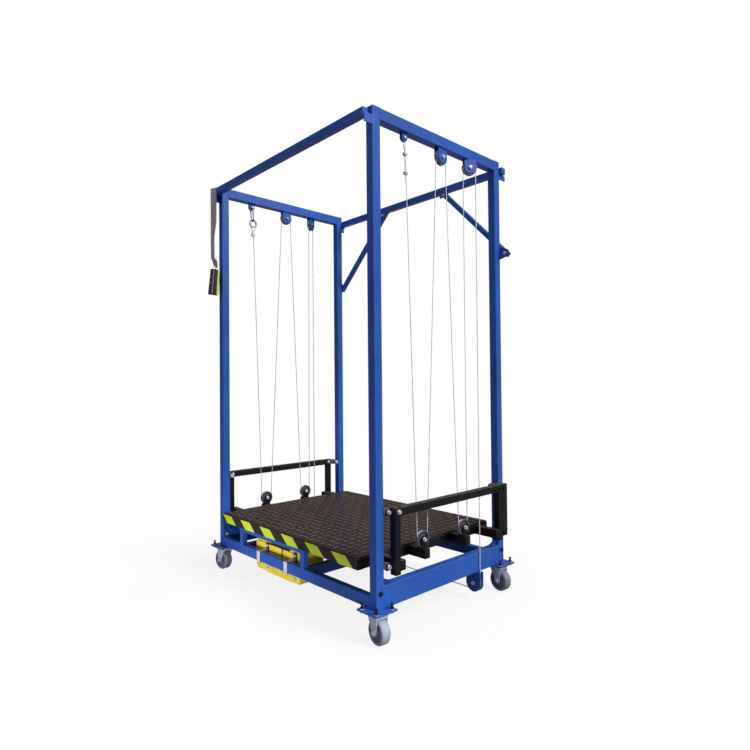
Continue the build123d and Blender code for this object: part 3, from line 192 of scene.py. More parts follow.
# Frame places for welds, caps and nuts: cross beams are their two ends in x, then y and z
POST_X = 0.750
POST_Y = 0.500
POST_HALF = 0.025
POST_BOLT_Z = 0.240
POST_NUT_RADIUS = 0.011
POST_NUT_HEIGHT = 0.008
SIDE_TOP_Z = (2.523, 2.583)
SIDE_BASE_Z = (0.162, 0.272)
BASE_BEAM_Z = (0.162, 0.222)
BASE_DEPTH = 0.040
BEARER_EDGES = (-0.510, -0.470, 0.142, 0.182)
PORTAL_EDGES = (-0.510, -0.480, 0.152, 0.182)
PORTAL_BAR_Z = 0.303
PORTAL_BAR_AT = (-0.506, 0.3204)
PORTAL_END_X = (-0.515, 0.187)
CROSS_BEAMS = (((-0.815, 0.745), -0.545, 2.553), ((-0.790, 0.790), 0.545, 2.531))
GUSSET_HALF = 0.006
GUSSET_WELD_Z = (0.277, 0.307)
PORTAL_WELD_Y = (-0.521, -0.491)
CAP_SIZE = (0.036, 0.036)
PORTAL_CAP_SIZE = (0.034, 0.031)
CAP_RADIUS = 0.005
CAP_HEIGHT = 0.0022
WELD_RADIUS = 0.0026
WELD_STEP = 0.0035
WELD_CORNERS = 6
WELD_RIPPLE = 0.16
WELD_TIP = 0.4

# Hoist: covers are ranges of x, stays are a middle x and a width; the narrow middle stay is a painted
# shadow in the gap between two covers
HOIST_X = (-0.415, 0.045)
HOIST_Y = (-0.457, -0.270)
HOIST_Z = (0.078, 0.268)
HOIST_COVERS = ((-0.408, -0.298), (-0.259, -0.124), (-0.111, -0.013))
HOIST_COVER_Z = (0.104, 0.256)
HOIST_COVER_RADIUS = 0.006
HOIST_COVER_HEIGHT = 0.008
HOIST_COVER_SUNK = 0.001
COVER_SOFT_EDGE = 0.002
END_COVER_SIZE = (0.15, 0.152)
END_COVER_RADIUS = 0.02
END_COVER_HEIGHT = 0.005
END_SCREWS_Y = (-0.066, 0.066)
END_SCREWS_Z = (-0.067, 0.0, 0.067)
END_SCREW_RADIUS = 0.005
END_SCREW_HEIGHT = 0.004
MOTOR_MIDDLE_X = -0.005
MOTOR_RIBS = 7
MOTOR_RIB_PITCH = 0.02
MOTOR_RIB_SIZE = (0.068, 0.006)
MOTOR_RIB_RADIUS = 0.0028
MOTOR_RIB_HEIGHT = 0.006
GRILLE_BARS = 9
GRILLE_PITCH = 0.0165
GRILLE_BAR_SIZE = (0.148, 0.0085)
GRILLE_BAR_RADIUS = 0.004
GRILLE_BAR_HEIGHT = 0.004
CLAMP_X = (-0.277, 0.015)
CLAMP_FRONT_Y = -0.530
CLAMP_FACE_SIZE = (0.034, 0.066)
CLAMP_FACE_HEIGHT = 0.002
CLAMP_MIDDLE_Z = 0.192
CLAMP_BOLT_Z = (0.113, 0.2455)
CLAMP_BOLT_RADIUS = 0.009
CLAMP_BOLT_HEIGHT = 0.015
# The narrow middle strip is painted shadow in the gap between the second and third covers
STAYS_AND_GAP_SHADE = ((-0.277, 0.035), (-0.1175, 0.012), (0.015, 0.035))
STAY_LENGTH = 0.058
STAY_MIDDLE_Z = 0.2335
STAY_HEIGHT = 0.006
CLAMP_CORNER = 0.003

# Raised shapes: how deep their feet are sunk, and outline of a screw head as shares of radius and height
PLATE_SUNK = 0.0005
PLATE_LEAST_RADIUS = 0.0004
SOFT_EDGE = 0.0012
SLAB_SUNK = 0.0003
SCREW_SUNK = 0.0003
SCREW_PROFILE = ((1.0, 0.7), (0.85, 1.0), (0.5, 1.0), (0.48, 0.4))
SCREW_CORNERS = 12
SHARP_ANGLE = radians(40.0)

# Hardware that is not bright: bolts at the feet of the posts, the left rope anchor, right rear bolts
STUD_Z = (0.1642, 0.256)
STUD_X = 0.6
ANCHOR_Z = (2.345, 2.490)
ANCHOR_X = -0.7
BLACK_BOLTS = (0.7, 0.38)

# Width of the rubbed band along edges, lightened by wear and by a painted highlight
EDGE_WEAR_AND_HIGHLIGHT = 0.006


# Colours

def srgb(red, green, blue):
    """Linear colour from eight-bit screen values."""
    values = [value / 255 for value in (red, green, blue)]
    linear = [v / 12.92 if v <= 0.04045 else ((v + 0.055) / 1.055) ** 2.4 for v in values]
    return (*linear, 1.0)


def shade(colour, factor):
    """A colour made darker or lighter."""
    return (*(min(1.0, value * factor) for value in colour[:3]), 1.0)


BLUE = srgb(36, 88, 174)
BLACK = srgb(14, 13, 17)
TAPE_BLACK = srgb(36, 34, 31)
YELLOW = srgb(234, 212, 64)
LIME = srgb(200, 228, 48)
PALE_LIME = srgb(226, 232, 112)
ZINC = srgb(222, 225, 231)
DARK_STEEL = srgb(58, 59, 66)
RIM_STEEL = srgb(122, 124, 132)
BLACK_STEEL = srgb(30, 29, 31)
STAY_AND_GAP_SHADE_STEEL = srgb(64, 58, 50)
ROPE_GREY = srgb(244, 244, 246)
RUBBER = srgb(36, 27, 22)
RUBBER_TOP_RUBBED_AND_LIT = srgb(114, 92, 78)
TREAD_GREY = srgb(164, 173, 192)
SHADED_REAR_TREAD = srgb(122, 126, 140)
WHEEL_DARK = srgb(122, 136, 158)
FORK_ZINC = srgb(200, 214, 228)
ROLLER_GREY = srgb(96, 97, 102)
WEBBING = srgb(166, 171, 170)
DUST = srgb(150, 142, 130)
BROWN_DUST_AND_SHEEN = srgb(132, 120, 88)
STRIP_GREY = srgb(200, 197, 196)
CONTROL_GREY = srgb(48, 48, 48)
BUTTON_GREY = srgb(72, 72, 74)


# Node materials

class Shader:
    """A node material that is put together step by step."""

    def __init__(self, name):
        self.material = bpy.data.materials.new(name)
        self.material.use_nodes = True
        self.tree = self.material.node_tree
        self.surface = self.tree.nodes["Principled BSDF"]
        self.place = self.add("ShaderNodeTexCoord").outputs["Object"]
        self.geometry = self.add("ShaderNodeNewGeometry")

    def add(self, kind, values=None, **settings):
        """Adds a node with values in its sockets and settings in its properties."""
        node = self.tree.nodes.new(kind)
        for name, value in settings.items():
            setattr(node, name, value)
        for key, value in (values or {}).items():
            self.put(node.inputs[key], value)
        return node

    def put(self, socket, value):
        """Sets a socket, or links it where the value is an output of another node."""
        if isinstance(value, bpy.types.NodeSocket):
            self.tree.links.new(value, socket)
        else:
            socket.default_value = value

    def math(self, operation, *values):
        """Number from one, two or three numbers."""
        return self.add("ShaderNodeMath", dict(enumerate(values)), operation=operation).outputs[0]

    def vector(self, operation, first, second, output="Vector"):
        """Vector or number from two vectors."""
        node = self.add("ShaderNodeVectorMath", {0: first, 1: second}, operation=operation)
        return node.outputs[output]

    def axis(self, name):
        """One coordinate of the position."""
        return self.add("ShaderNodeSeparateXYZ", {0: self.place}).outputs[name]

    def noise(self, scale, detail):
        """Cloudy pattern, about 0.3 to 0.7."""
        values = {"Vector": self.place, "Scale": scale, "Detail": detail}
        return self.add("ShaderNodeTexNoise", values).outputs[0]

    def span(self, value, low, high, to_low=0.0, to_high=1.0):
        """Stretches a range of a number to another range, and cuts off what is outside."""
        values = {"Value": value, "From Min": low, "From Max": high, "To Min": to_low, "To Max": to_high}
        return self.add("ShaderNodeMapRange", values).outputs[0]

    def clouds(self, scale, detail, limits=(0.3, 0.7), to=(0.0, 1.0)):
        """Cloudy pattern between two limits, stretched to a range."""
        return self.span(self.noise(scale, detail), *limits, *to)

    def between(self, value, low, high):
        """One where a number lies between two limits."""
        above = self.math("GREATER_THAN", value, low)
        return self.math("MULTIPLY", above, self.math("LESS_THAN", value, high))

    def mix(self, share, first, second):
        """Colour between two colours."""
        node = self.add("ShaderNodeMix", {0: share, 6: first, 7: second}, data_type="RGBA")
        return node.outputs[2]

    def bump(self, height, distance, strength):
        """Surface normal of a height pattern."""
        values = {"Height": height, "Distance": distance, "Strength": strength}
        return self.add("ShaderNodeBump", values).outputs[0]

    def grain(self, scale, detail, distance, strength):
        """Surface normal of a cloudy pattern."""
        return self.bump(self.noise(scale, detail), distance, strength)

    def facing_up(self):
        """One on faces that look up, zero on upright ones."""
        height = self.add("ShaderNodeSeparateXYZ", {0: self.geometry.outputs["Normal"]}).outputs["Z"]
        return self.span(height, 0.3, 0.9)

    def edges(self, radius):
        """One along outer edges, zero on flat faces."""
        rounded = self.add("ShaderNodeBevel", {"Radius": radius}, samples=4).outputs[0]
        same = self.vector("DOT_PRODUCT", rounded, self.geometry.outputs["True Normal"], "Value")
        return self.span(same, 0.99, 0.86)

    def from_axis(self, centre, axis):
        """Distance from an axis line, and along it from a centre."""
        away = self.vector("SUBTRACT", self.place, tuple(centre))
        along = self.math("ABSOLUTE", self.vector("DOT_PRODUCT", away, tuple(axis), "Value"))
        square = self.vector("DOT_PRODUCT", away, away, "Value")
        radial = self.math("SQRT", self.math("SUBTRACT", square, self.math("MULTIPLY", along, along)))
        return radial, along

    def close(self, **values):
        """Puts values into the surface's sockets and returns the material."""
        for name, value in values.items():
            self.put(self.surface.inputs[name.replace("_", " ").title()], value)
        return self.material


def weathered(shader, colour, dust, wear_and_highlight, wear_and_highlight_colour, dust_colour):
    """Colour with slow tone changes, dust on top faces, and edges lightened by wear and by a painted
    highlight.
    """
    tone = shader.clouds(3.5, 4.0, (0.32, 0.68))
    base = shader.mix(tone, shade(colour, 0.88), shade(colour, 1.1))
    dusty = shader.math("MULTIPLY", shader.facing_up(), shader.clouds(28.0, 5.0, (0.35, 0.7)))
    base = shader.mix(shader.math("MULTIPLY", dusty, dust), base, dust_colour)
    # Lighter edges: rubbed paint and a painted highlight along the rounded edges
    scuffs = shader.clouds(75.0, 6.0, (0.5, 0.66), (0.45, 1.0))
    rubbed_and_lit = shader.math("MULTIPLY", shader.edges(EDGE_WEAR_AND_HIGHLIGHT), scuffs)
    return shader.mix(shader.math("MULTIPLY", rubbed_and_lit, wear_and_highlight), base, wear_and_highlight_colour)


def paint(name, colour, dust=0.12, wear_and_highlight=0.5, roughness=0.34, coat=0.1, shine=0.4, dust_colour=DUST):
    """Sprayed gloss paint with orange peel, dust, and rubbed edges that also carry a painted highlight."""
    shader = Shader(name)
    shader.surface.inputs["Specular IOR Level"].default_value = shine
    base = weathered(shader, colour, dust, wear_and_highlight, shade(colour, 2.2), dust_colour)
    rough = shader.clouds(9.0, 4.0, to=(roughness - 0.06, roughness + 0.08))
    peel = shader.grain(420.0, 2.0, 0.0004, 0.35)
    shader.close(base_color=base, roughness=rough, normal=peel)
    return shader.close(coat_weight=coat, coat_roughness=0.16)


def metal(name, colour, roughness=0.32, metallic=0.55):
    """Plated or bare steel with a fine grain and patchy shine."""
    shader = Shader(name)
    patches = shader.clouds(55.0, 5.0)
    base = shader.mix(patches, shade(colour, 0.78), colour)
    rough = shader.clouds(120.0, 3.0, to=(roughness - 0.08, roughness + 0.14))
    fine = shader.grain(260.0, 4.0, 0.0003, 0.3)
    return shader.close(base_color=base, metallic=metallic, roughness=rough, normal=fine)


def bolt_steel(name, masks):
    """Plated hardware that is black or greased where the masks say so; masks makes both from the shader."""
    shader = Shader(name)
    patches = shader.clouds(55.0, 5.0)
    bright = shader.mix(patches, shade(ZINC, 0.78), ZINC)
    black = shader.mix(patches, shade(BLACK_STEEL, 0.8), shade(BLACK_STEEL, 1.6))
    greased = shader.mix(patches, BLACK_STEEL, shade(ZINC, 0.7))
    is_black, is_greased = masks(shader)
    base = shader.mix(is_greased, shader.mix(is_black, bright, black), greased)
    rough = shader.clouds(120.0, 3.0, to=(0.26, 0.46))
    fine = shader.grain(260.0, 4.0, 0.0003, 0.3)
    return shader.close(base_color=base, metallic=0.5, roughness=rough, normal=fine)


def frame_masks(shader):
    """Black bolts at the feet of the posts and a greased left rope anchor."""
    side = shader.axis("X")
    outside = shader.math("GREATER_THAN", shader.math("ABSOLUTE", side), STUD_X)
    at_foot = shader.math("MULTIPLY", shader.between(shader.axis("Z"), *STUD_Z), outside)
    on_left = shader.math("LESS_THAN", side, ANCHOR_X)
    at_anchor = shader.math("MULTIPLY", shader.between(shader.axis("Z"), *ANCHOR_Z), on_left)
    return at_foot, at_anchor


def platform_masks(shader):
    """Black bolts at the right rear corner of the platform."""
    right = shader.math("GREATER_THAN", shader.axis("X"), BLACK_BOLTS[0])
    rear = shader.math("GREATER_THAN", shader.axis("Y"), BLACK_BOLTS[1])
    return shader.math("MULTIPLY", right, rear), 0.0


def rope_steel():
    """Wire rope with slanting strands: painted shade darkens the ropes on the left and the grooves between
    strands.
    """
    shader = Shader("rope_steel")
    # Painted shade: ropes on the left are darker, and the grooves between strands darker still
    right = shader.math("GREATER_THAN", shader.axis("X"), 0.0)
    strands_with_left_shade = shader.mix(right, shade(ROPE_GREY, 0.62), ROPE_GREY)
    painted_groove_shade = shader.mix(right, shade(ROPE_GREY, 0.26), shade(ROPE_GREY, 0.55))
    slant = shader.vector("DOT_PRODUCT", shader.place, (1.0, 1.0, 1.0), "Value")
    wave = shader.math("SINE", shader.math("MULTIPLY", slant, 2 * pi * STRANDS / LAY_LENGTH))
    groove = shader.span(wave, -1.0, -0.2)
    base = shader.mix(groove, painted_groove_shade, strands_with_left_shade)
    soiled = shader.clouds(40.0, 3.0, (0.45, 0.7), (0.0, 0.15))
    base = shader.mix(soiled, base, shade(DUST, 0.8))
    ridges = shader.bump(wave, 0.0008, 0.4)
    return shader.close(base_color=base, metallic=0.1, roughness=0.4, normal=ridges)


def rubber(name, colour, roughness=0.62):
    """Matt rubber with fine pores and dusty patches."""
    shader = Shader(name)
    patches = shader.clouds(14.0, 5.0, (0.35, 0.68))
    base = shader.mix(patches, shade(colour, 0.8), shade(colour, 1.18))
    base = shader.mix(shader.clouds(60.0, 6.0, (0.55, 0.75), (0.0, 0.3)), base, DUST)
    pores = shader.grain(700.0, 3.0, 0.0003, 0.4)
    return shader.close(base_color=base, roughness=roughness, normal=pores)


def bar_rubber():
    """Tread bars of the mat: pale on top with rubbed patches and painted light, and painted shade on their
    sides.
    """
    shader = Shader("bar_rubber")
    patches = shader.clouds(9.0, 5.0, (0.3, 0.6), (0.6, 1.0))
    rubbed_and_lit = shader.math("MULTIPLY", shader.facing_up(), patches)
    # Painted shade darkens the sides of the bars; painted light and rubbing make the tops pale
    base = shader.mix(rubbed_and_lit, shade(RUBBER, 0.08), RUBBER_TOP_RUBBED_AND_LIT)
    rough = shader.span(shader.facing_up(), 0.0, 1.0, 0.85, 0.3)
    pores = shader.grain(700.0, 3.0, 0.0003, 0.4)
    return shader.close(base_color=base, roughness=rough, normal=pores)


def plastic(name, colour, roughness=0.42):
    """Moulded plastic with a fine spark texture."""
    shader = Shader(name)
    tone = shader.clouds(22.0, 4.0)
    base = shader.mix(tone, shade(colour, 0.9), shade(colour, 1.08))
    spark = shader.grain(900.0, 2.0, 0.0002, 0.4)
    return shader.close(base_color=base, roughness=roughness, normal=spark)


def webbing():
    """Woven strap: ribs across it and fine yarns along it."""
    shader = Shader("webbing")
    across = shader.add("ShaderNodeUVMap").outputs[0]
    parts = shader.add("ShaderNodeSeparateXYZ", {0: across})
    along = shader.math("SINE", shader.math("MULTIPLY", parts.outputs["Y"], 2 * pi / WEAVE_PITCH))
    yarns = shader.math("SINE", shader.math("MULTIPLY", parts.outputs["X"], 2 * pi / YARN_PITCH))
    weave = shader.math("MULTIPLY", along, yarns)
    base = shader.mix(shader.span(weave, -1.0, 1.0), shade(WEBBING, 0.72), shade(WEBBING, 1.12))
    soiled = shader.clouds(18.0, 5.0, (0.42, 0.7), (0.0, 0.45))
    base = shader.mix(soiled, base, shade(WEBBING, 0.55))
    threads = shader.bump(weave, 0.0006, 0.7)
    return shader.close(base_color=base, roughness=0.85, normal=threads, sheen_weight=0.3)


def sheave_steel(name, centre, axis):
    """Dark turned sheave with a bright rim and a polished groove."""
    shader = Shader(name)
    radial, along = shader.from_axis(centre, axis)
    turning = shader.math("SINE", shader.math("MULTIPLY", radial, 2 * pi / TURNING_PITCH))
    dark = shader.mix(shader.span(turning, -1.0, 1.0), shade(DARK_STEEL, 0.8), DARK_STEEL)
    bright = shader.span(radial, *SHEAVE_RIM)
    groove = shader.span(along, *SHEAVE_GROOVE)
    base = shader.mix(shader.math("MAXIMUM", bright, groove), dark, RIM_STEEL)
    rough = shader.clouds(90.0, 3.0, to=(0.26, 0.46))
    lines = shader.bump(turning, 0.0002, 0.3)
    return shader.close(base_color=base, metallic=0.4, roughness=rough, normal=lines)


def wheel_rubber(name, centre, axis, tread_colour):
    """Caster wheel: tread, darker side walls and a dark hub."""
    shader = Shader(name)
    radial, _ = shader.from_axis(centre, axis)
    tread = shader.span(radial, *TREAD_EDGE)
    hub = shader.span(radial, *HUB_EDGE)
    base = shader.mix(tread, shade(WHEEL_DARK, 1.1), tread_colour)
    base = shader.mix(hub, base, shade(WHEEL_DARK, 0.75))
    soiled = shader.clouds(70.0, 6.0, (0.46, 0.72), (0.0, 0.4))
    base = shader.mix(soiled, base, shade(DUST, 0.6))
    pores = shader.grain(500.0, 3.0, 0.0003, 0.4)
    return shader.close(base_color=base, roughness=0.5, normal=pores)


def control_plastic():
    """Hand control: black halves with a lime band and a seam between them."""
    shader = Shader("control_plastic")
    depth = shader.axis("Y")
    split = CONTROL_AT[1] + CONTROL_SPLIT
    band = shader.between(depth, split, split + CONTROL_BAND)
    tone = shader.clouds(60.0, 4.0)
    shell = shader.mix(tone, shade(CONTROL_GREY, 0.7), shade(CONTROL_GREY, 1.3))
    base = shader.mix(band, shell, PALE_LIME)
    from_split = shader.math("ABSOLUTE", shader.math("SUBTRACT", depth, split))
    seam = shader.span(from_split, *CONTROL_SEAM)
    base = shader.mix(seam, shade(BLACK, 0.4), base)
    spark = shader.noise(900.0, 2.0)
    height = shader.math("ADD", seam, shader.math("MULTIPLY", spark, 0.3))
    return shader.close(base_color=base, roughness=0.4, normal=shader.bump(height, 0.0005, 0.6))


# Mesh pieces

def add_piece(name, mesh, body, material):
    """Turns a bmesh into an object that rides on a body."""
    data = bpy.data.meshes.new(name)
    mesh.to_mesh(data)
    mesh.free()
    data.materials.append(material)
    made = bpy.data.objects.new(name, data)
    bpy.context.collection.objects.link(made)
    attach(made, body)
    return made


def smooth(made):
    """Smooth shading on a whole object."""
    for face in made.data.polygons:
        face.use_smooth = True


def smooth_edges(made):
    """Smooth shading with sharp edges kept sharp."""
    smooth(made)
    for edge in made.data.edges:
        edge.use_edge_sharp = False
    made.data.set_sharp_from_angle(angle=SHARP_ANGLE)


def thicken(made, thickness):
    """Gives a sheet its thickness, half on each side."""
    shell = made.modifiers.new("thickness", "SOLIDIFY")
    shell.thickness = thickness
    shell.offset = 0.0


def run_along(points):
    """Distance from the first point to each point, along the line that joins them."""
    run = [0.0]
    for here, there in zip(points, points[1:]):
        run.append(run[-1] + (there - here).length)
    return run


def skin_rings(mesh, rings, closed=True):
    """Faces between rows of points; closed rings also get a cap at each end."""
    rows = [[mesh.verts.new(point) for point in ring] for ring in rings]
    count = len(rows[0])
    around = range(count if closed else count - 1)
    for low, high in zip(rows, rows[1:]):
        for i in around:
            j = (i + 1) % count
            mesh.faces.new((low[i], low[j], high[j], high[i]))
    if closed:
        mesh.faces.new(list(reversed(rows[0])))
        mesh.faces.new(rows[-1])
    return rows


def twisted_rope(low, high):
    """Straight rope of twisted strands between two level ends."""
    low = Vector(low)
    high = Vector(high)
    length = (high - low).length
    steps = max(2, round(length / RING_STEP))
    corners = 2 * STRANDS
    rings = []
    for step in range(steps + 1):
        centre = low.lerp(high, step / steps)
        turn = 2 * pi * length * step / steps / LAY_LENGTH
        ring = []
        for corner in range(corners):
            angle = turn + 2 * pi * corner / corners
            radius = ROPE_RADIUS * (1.0 if corner % 2 else STRAND_GROOVE)
            ring.append(centre + Vector((radius * cos(angle), radius * sin(angle), 0)))
        rings.append(ring)
    mesh = bmesh.new()
    skin_rings(mesh, rings)
    return mesh


def fall_routes(sign):
    """Low and high ends of the falls on one side, with the node that each stands for."""
    x = sign * ROPE_X
    r = SHEAVE_RADIUS
    turned_x = sign * (TURNED_SHEAVE[0] - r * sin(TURNED_ANGLE))
    turned_y = TURNED_SHEAVE[1] - r * cos(TURNED_ANGLE)
    anchor_slope = (FRONT_SHEAVE_Y - r - ANCHOR_TOP[0]) / (ANCHOR_TOP[1] - PLATFORM_SHEAVE_Z)
    anchor_y = ANCHOR_TOP[0] + anchor_slope * (ANCHOR_TOP[1] - FALL_TOP_Z)
    low = PLATFORM_SHEAVE_Z
    high = TOP_SHEAVE_Z
    return {
        "anchor": ((x, FRONT_SHEAVE_Y - r, low), (x, anchor_y, FALL_TOP_Z), "anchor_falls"),
        "second": ((x, FRONT_SHEAVE_Y + r, low), (x, TOP_SHEAVE_Y - r, high), "rope_falls"),
        "third": ((x, REAR_SHEAVE_Y - r, low), (x, TOP_SHEAVE_Y + r, high), "rope_falls"),
        "fourth": ((x, REAR_SHEAVE_Y + r, low), (turned_x, turned_y, high), "rope_falls"),
    }


def make_falls(material):
    """Twisted rope falls on both sides, in place of the CAD fall nodes."""
    for side, sign in (("left", -1), ("right", 1)):
        for name, (low, high, node) in fall_routes(sign).items():
            made = add_piece(f"{side}_{name}_fall", twisted_rope(low, high), "frame", material)
            smooth(made)
            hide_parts(node)
            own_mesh(made)


def tread_bar(mesh, centre, angle):
    """One raised bar of the mat: a pointed oval with sloping sides."""
    outline = []
    for corner in range(BAR_CORNERS):
        turn = 2 * pi * corner / BAR_CORNERS
        along = cos(turn) * BAR_LENGTH / 2
        across = sin(turn) * abs(sin(turn)) ** BAR_POINT * BAR_WIDTH / 2
        outline.append((along, across))
    long_way = Vector((cos(angle), sin(angle), 0))
    short_way = Vector((-sin(angle), cos(angle), 0))
    rings = []
    for size, level in BAR_PROFILE:
        base = Vector((*centre, MAT_TOP_Z + level * BAR_HEIGHT))
        rings.append([base + long_way * (a * size) + short_way * (b * size) for a, b in outline])
    skin_rings(mesh, rings)


def make_mat_bars(material):
    """Raised bars that stand crosswise in turn, all over the mat."""
    mesh = bmesh.new()
    columns = int((2 * MAT_HALF_WIDTH - BAR_LENGTH) / BAR_PITCH) + 1
    rows = int((MAT_Y[1] - MAT_Y[0] - BAR_LENGTH) / BAR_PITCH) + 1
    start_x = -(columns - 1) * BAR_PITCH / 2
    start_y = sum(MAT_Y) / 2 - (rows - 1) * BAR_PITCH / 2
    for column in range(columns):
        for row in range(rows):
            angle = pi / 2 if (column + row) % 2 else 0.0
            tread_bar(mesh, (start_x + column * BAR_PITCH, start_y + row * BAR_PITCH), angle)
    smooth_edges(add_piece("mat_bars", mesh, "platform", material))


def tape_profile():
    """Points (y, z) down the front of the deck and round its lower edge."""
    y = DECK_FRONT_Y - TAPE_PROUD
    radius = DECK_EDGE_RADIUS + TAPE_PROUD
    centre = (DECK_FRONT_Y + DECK_EDGE_RADIUS, DECK_LOW_Z + DECK_EDGE_RADIUS)
    points = [(y, DECK_PLATE_TOP_Z - TAPE_TOP_GAP), (y, centre[1])]
    for step in range(1, TAPE_WRAP_STEPS + 1):
        angle = TAPE_WRAP * step / TAPE_WRAP_STEPS
        points.append((centre[0] - radius * cos(angle), centre[1] - radius * sin(angle)))
    return points


def make_tape(name, start, width, material):
    """Leaning fields of hazard tape along the front of the deck."""
    mesh = bmesh.new()
    profile = tape_profile()
    down = run_along([Vector(point) for point in profile])
    fields = int(2 * DECK_HALF_WIDTH / STRIPE_PITCH) + 2
    limit = DECK_HALF_WIDTH - TAPE_END_GAP
    for field in range(-1, fields):
        rows = []
        for (y, z), depth in zip(profile, down):
            left = start + field * STRIPE_PITCH + depth * STRIPE_LEAN
            ends = [max(-limit, min(limit, x)) for x in (left, left + width)]
            rows.append([Vector((x, y, z)) for x in ends])
        if max(row[1].x - row[0].x for row in rows) > TAPE_LEAST_WIDTH:
            skin_rings(mesh, rows, closed=False)
    made = add_piece(name, mesh, "platform", material)
    thicken(made, TAPE_PROUD)


def strap_rows():
    """Left and right edge points of the strap, over the beam and down to the control's ring."""
    _, left, right = STRAP_STATIONS[0]
    rows = [[Vector((x, STRAP_BACK_Y, STRAP_TOP_Z)) for x in (left[0], right[0])]]
    for step in range(STRAP_BEND_STEPS + 1):
        angle = pi / 2 * step / STRAP_BEND_STEPS
        back = STRAP_BEND * (1 - sin(angle))
        height = STRAP_TOP_Z - STRAP_BEND * (1 - cos(angle))
        rows.append([Vector((x, y + back, height)) for x, y in (left, right)])
    for upper, lower in zip(STRAP_STATIONS, STRAP_STATIONS[1:]):
        for step in range(1, STRAP_STEPS + 1):
            share = step / STRAP_STEPS
            eased = share * share * (3 - 2 * share)
            height = upper[0] + (lower[0] - upper[0]) * share
            pairs = [Vector(a).lerp(Vector(b), eased) for a, b in zip(upper[1:], lower[1:])]
            rows.append([Vector((pair.x, pair.y, height)) for pair in pairs])
    return rows


def strap_mesh(edges, run):
    """Sheet between the strap's edges, with flat coordinates in metres for the weave."""
    mesh = bmesh.new()
    layer = mesh.loops.layers.uv.new("UVMap")
    shares = [column / (STRAP_COLUMNS - 1) for column in range(STRAP_COLUMNS)]
    lines = [[left.lerp(right, share) for share in shares] for left, right in edges]
    rows = skin_rings(mesh, lines, closed=False)
    flat = {}
    for row, along in zip(rows, run):
        for vert, share in zip(row, shares):
            flat[vert] = (share * STRAP_WIDTH, along)
    for face in mesh.faces:
        for loop in face.loops:
            loop[layer].uv = flat[loop.vert]
    return mesh


def make_strap(material):
    """Webbing strap that hangs askew on the beam and is folded together at the control."""
    edges = strap_rows()
    run = run_along([(left + right) / 2 for left, right in edges])
    mesh = strap_mesh(edges, run)
    area = sum(face.calc_area() for face in mesh.faces)
    strap = add_piece("strap", mesh, "frame", material)
    smooth(strap)
    thicken(strap, STRAP_THICKNESS)
    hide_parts("pendant_strap")


# Welds, caps and fittings

def across_of(direction):
    """Two directions square to a direction and to each other."""
    side = direction.orthogonal().normalized()
    return side, direction.cross(side)


def weld(mesh, start, end):
    """Rippled bead between two points."""
    start = Vector(start)
    end = Vector(end)
    way = (end - start).normalized()
    side, up = across_of(way)
    steps = max(3, round((end - start).length / WELD_STEP))
    turns = [2 * pi * corner / WELD_CORNERS for corner in range(WELD_CORNERS)]
    rings = []
    for step in range(steps + 1):
        tip = step in (0, steps)
        radius = WELD_RADIUS * (WELD_TIP if tip else 1.0 + WELD_RIPPLE * (-1) ** step)
        centre = start.lerp(end, step / steps)
        rings.append([centre + side * (radius * cos(t)) + up * (radius * sin(t)) for t in turns])
    skin_rings(mesh, rings)


def joint_lines():
    """Weld lines on the right-hand front quarter of the frame."""
    inner_y = -POST_Y + POST_HALF
    outer_x = POST_X + POST_HALF
    inner_x = POST_X - POST_HALF
    lines = []
    for low, high in (SIDE_TOP_Z, SIDE_BASE_Z):
        for z in (low, high):
            lines.append(((inner_x, inner_y, z), (outer_x, inner_y, z)))
        for x in (inner_x, outer_x):
            lines.append(((x, inner_y, low), (x, inner_y, high)))
    front = -POST_Y - POST_HALF
    back = front + BASE_DEPTH
    low, high = BASE_BEAM_Z
    lines.append(((inner_x, back, low), (inner_x, back, high)))
    lines.append(((inner_x, front, high), (inner_x, back, high)))
    low, high = GUSSET_WELD_Z
    for x in (POST_X - GUSSET_HALF, POST_X + GUSSET_HALF):
        lines.append(((x, inner_y, low), (x, inner_y, high)))
    return lines


def mirrored(point, x_sign, y_sign):
    """Image of a point on another quarter of the frame."""
    return (x_sign * point[0], y_sign * point[1], point[2])


def make_welds(material):
    """Weld beads at the posts, the bearers and the portal."""
    mesh = bmesh.new()
    for x_sign in (-1, 1):
        for y_sign in (-1, 1):
            for start, end in joint_lines():
                weld(mesh, mirrored(start, x_sign, y_sign), mirrored(end, x_sign, y_sign))
    y = POST_Y + POST_HALF - BASE_DEPTH
    low, high = BASE_BEAM_Z
    for x in BEARER_EDGES:
        for sign in (-1, 1):
            weld(mesh, (x, sign * y, low), (x, sign * y, high))
    front, back = PORTAL_WELD_Y
    for x in PORTAL_EDGES:
        for z in (high, PORTAL_BAR_Z):
            weld(mesh, (x, front, z), (x, back, z))
    smooth(add_piece("weld_beads", mesh, "frame", material))


def rounded_outline(width, height, radius, steps=4):
    """Points (a, b) round a rectangle with round corners."""
    points = []
    for quarter in range(4):
        a = (width / 2 - radius) * (1 if quarter in (0, 3) else -1)
        b = (height / 2 - radius) * (1 if quarter in (0, 1) else -1)
        for step in range(steps + 1):
            angle = pi / 2 * (quarter + step / steps)
            points.append((a + radius * cos(angle), b + radius * sin(angle)))
    return points


def plate(mesh, centre, outward, size, radius, height, soft=SOFT_EDGE):
    """Raised plate on an upright face, with round corners and a soft outer edge."""
    outward = Vector(outward)
    side = Vector((0, 0, 1)).cross(outward)
    up = outward.cross(side)
    rings = []
    bevel = soft * 0.3
    levels = ((0.0, -PLATE_SUNK), (0.0, height - soft), (bevel, height - bevel), (soft, height))
    for inset, level in levels:
        corner = max(radius - inset, PLATE_LEAST_RADIUS)
        outline = rounded_outline(size[0] - 2 * inset, size[1] - 2 * inset, corner)
        base = Vector(centre) + outward * level
        rings.append([base + side * a + up * b for a, b in outline])
    skin_rings(mesh, rings)


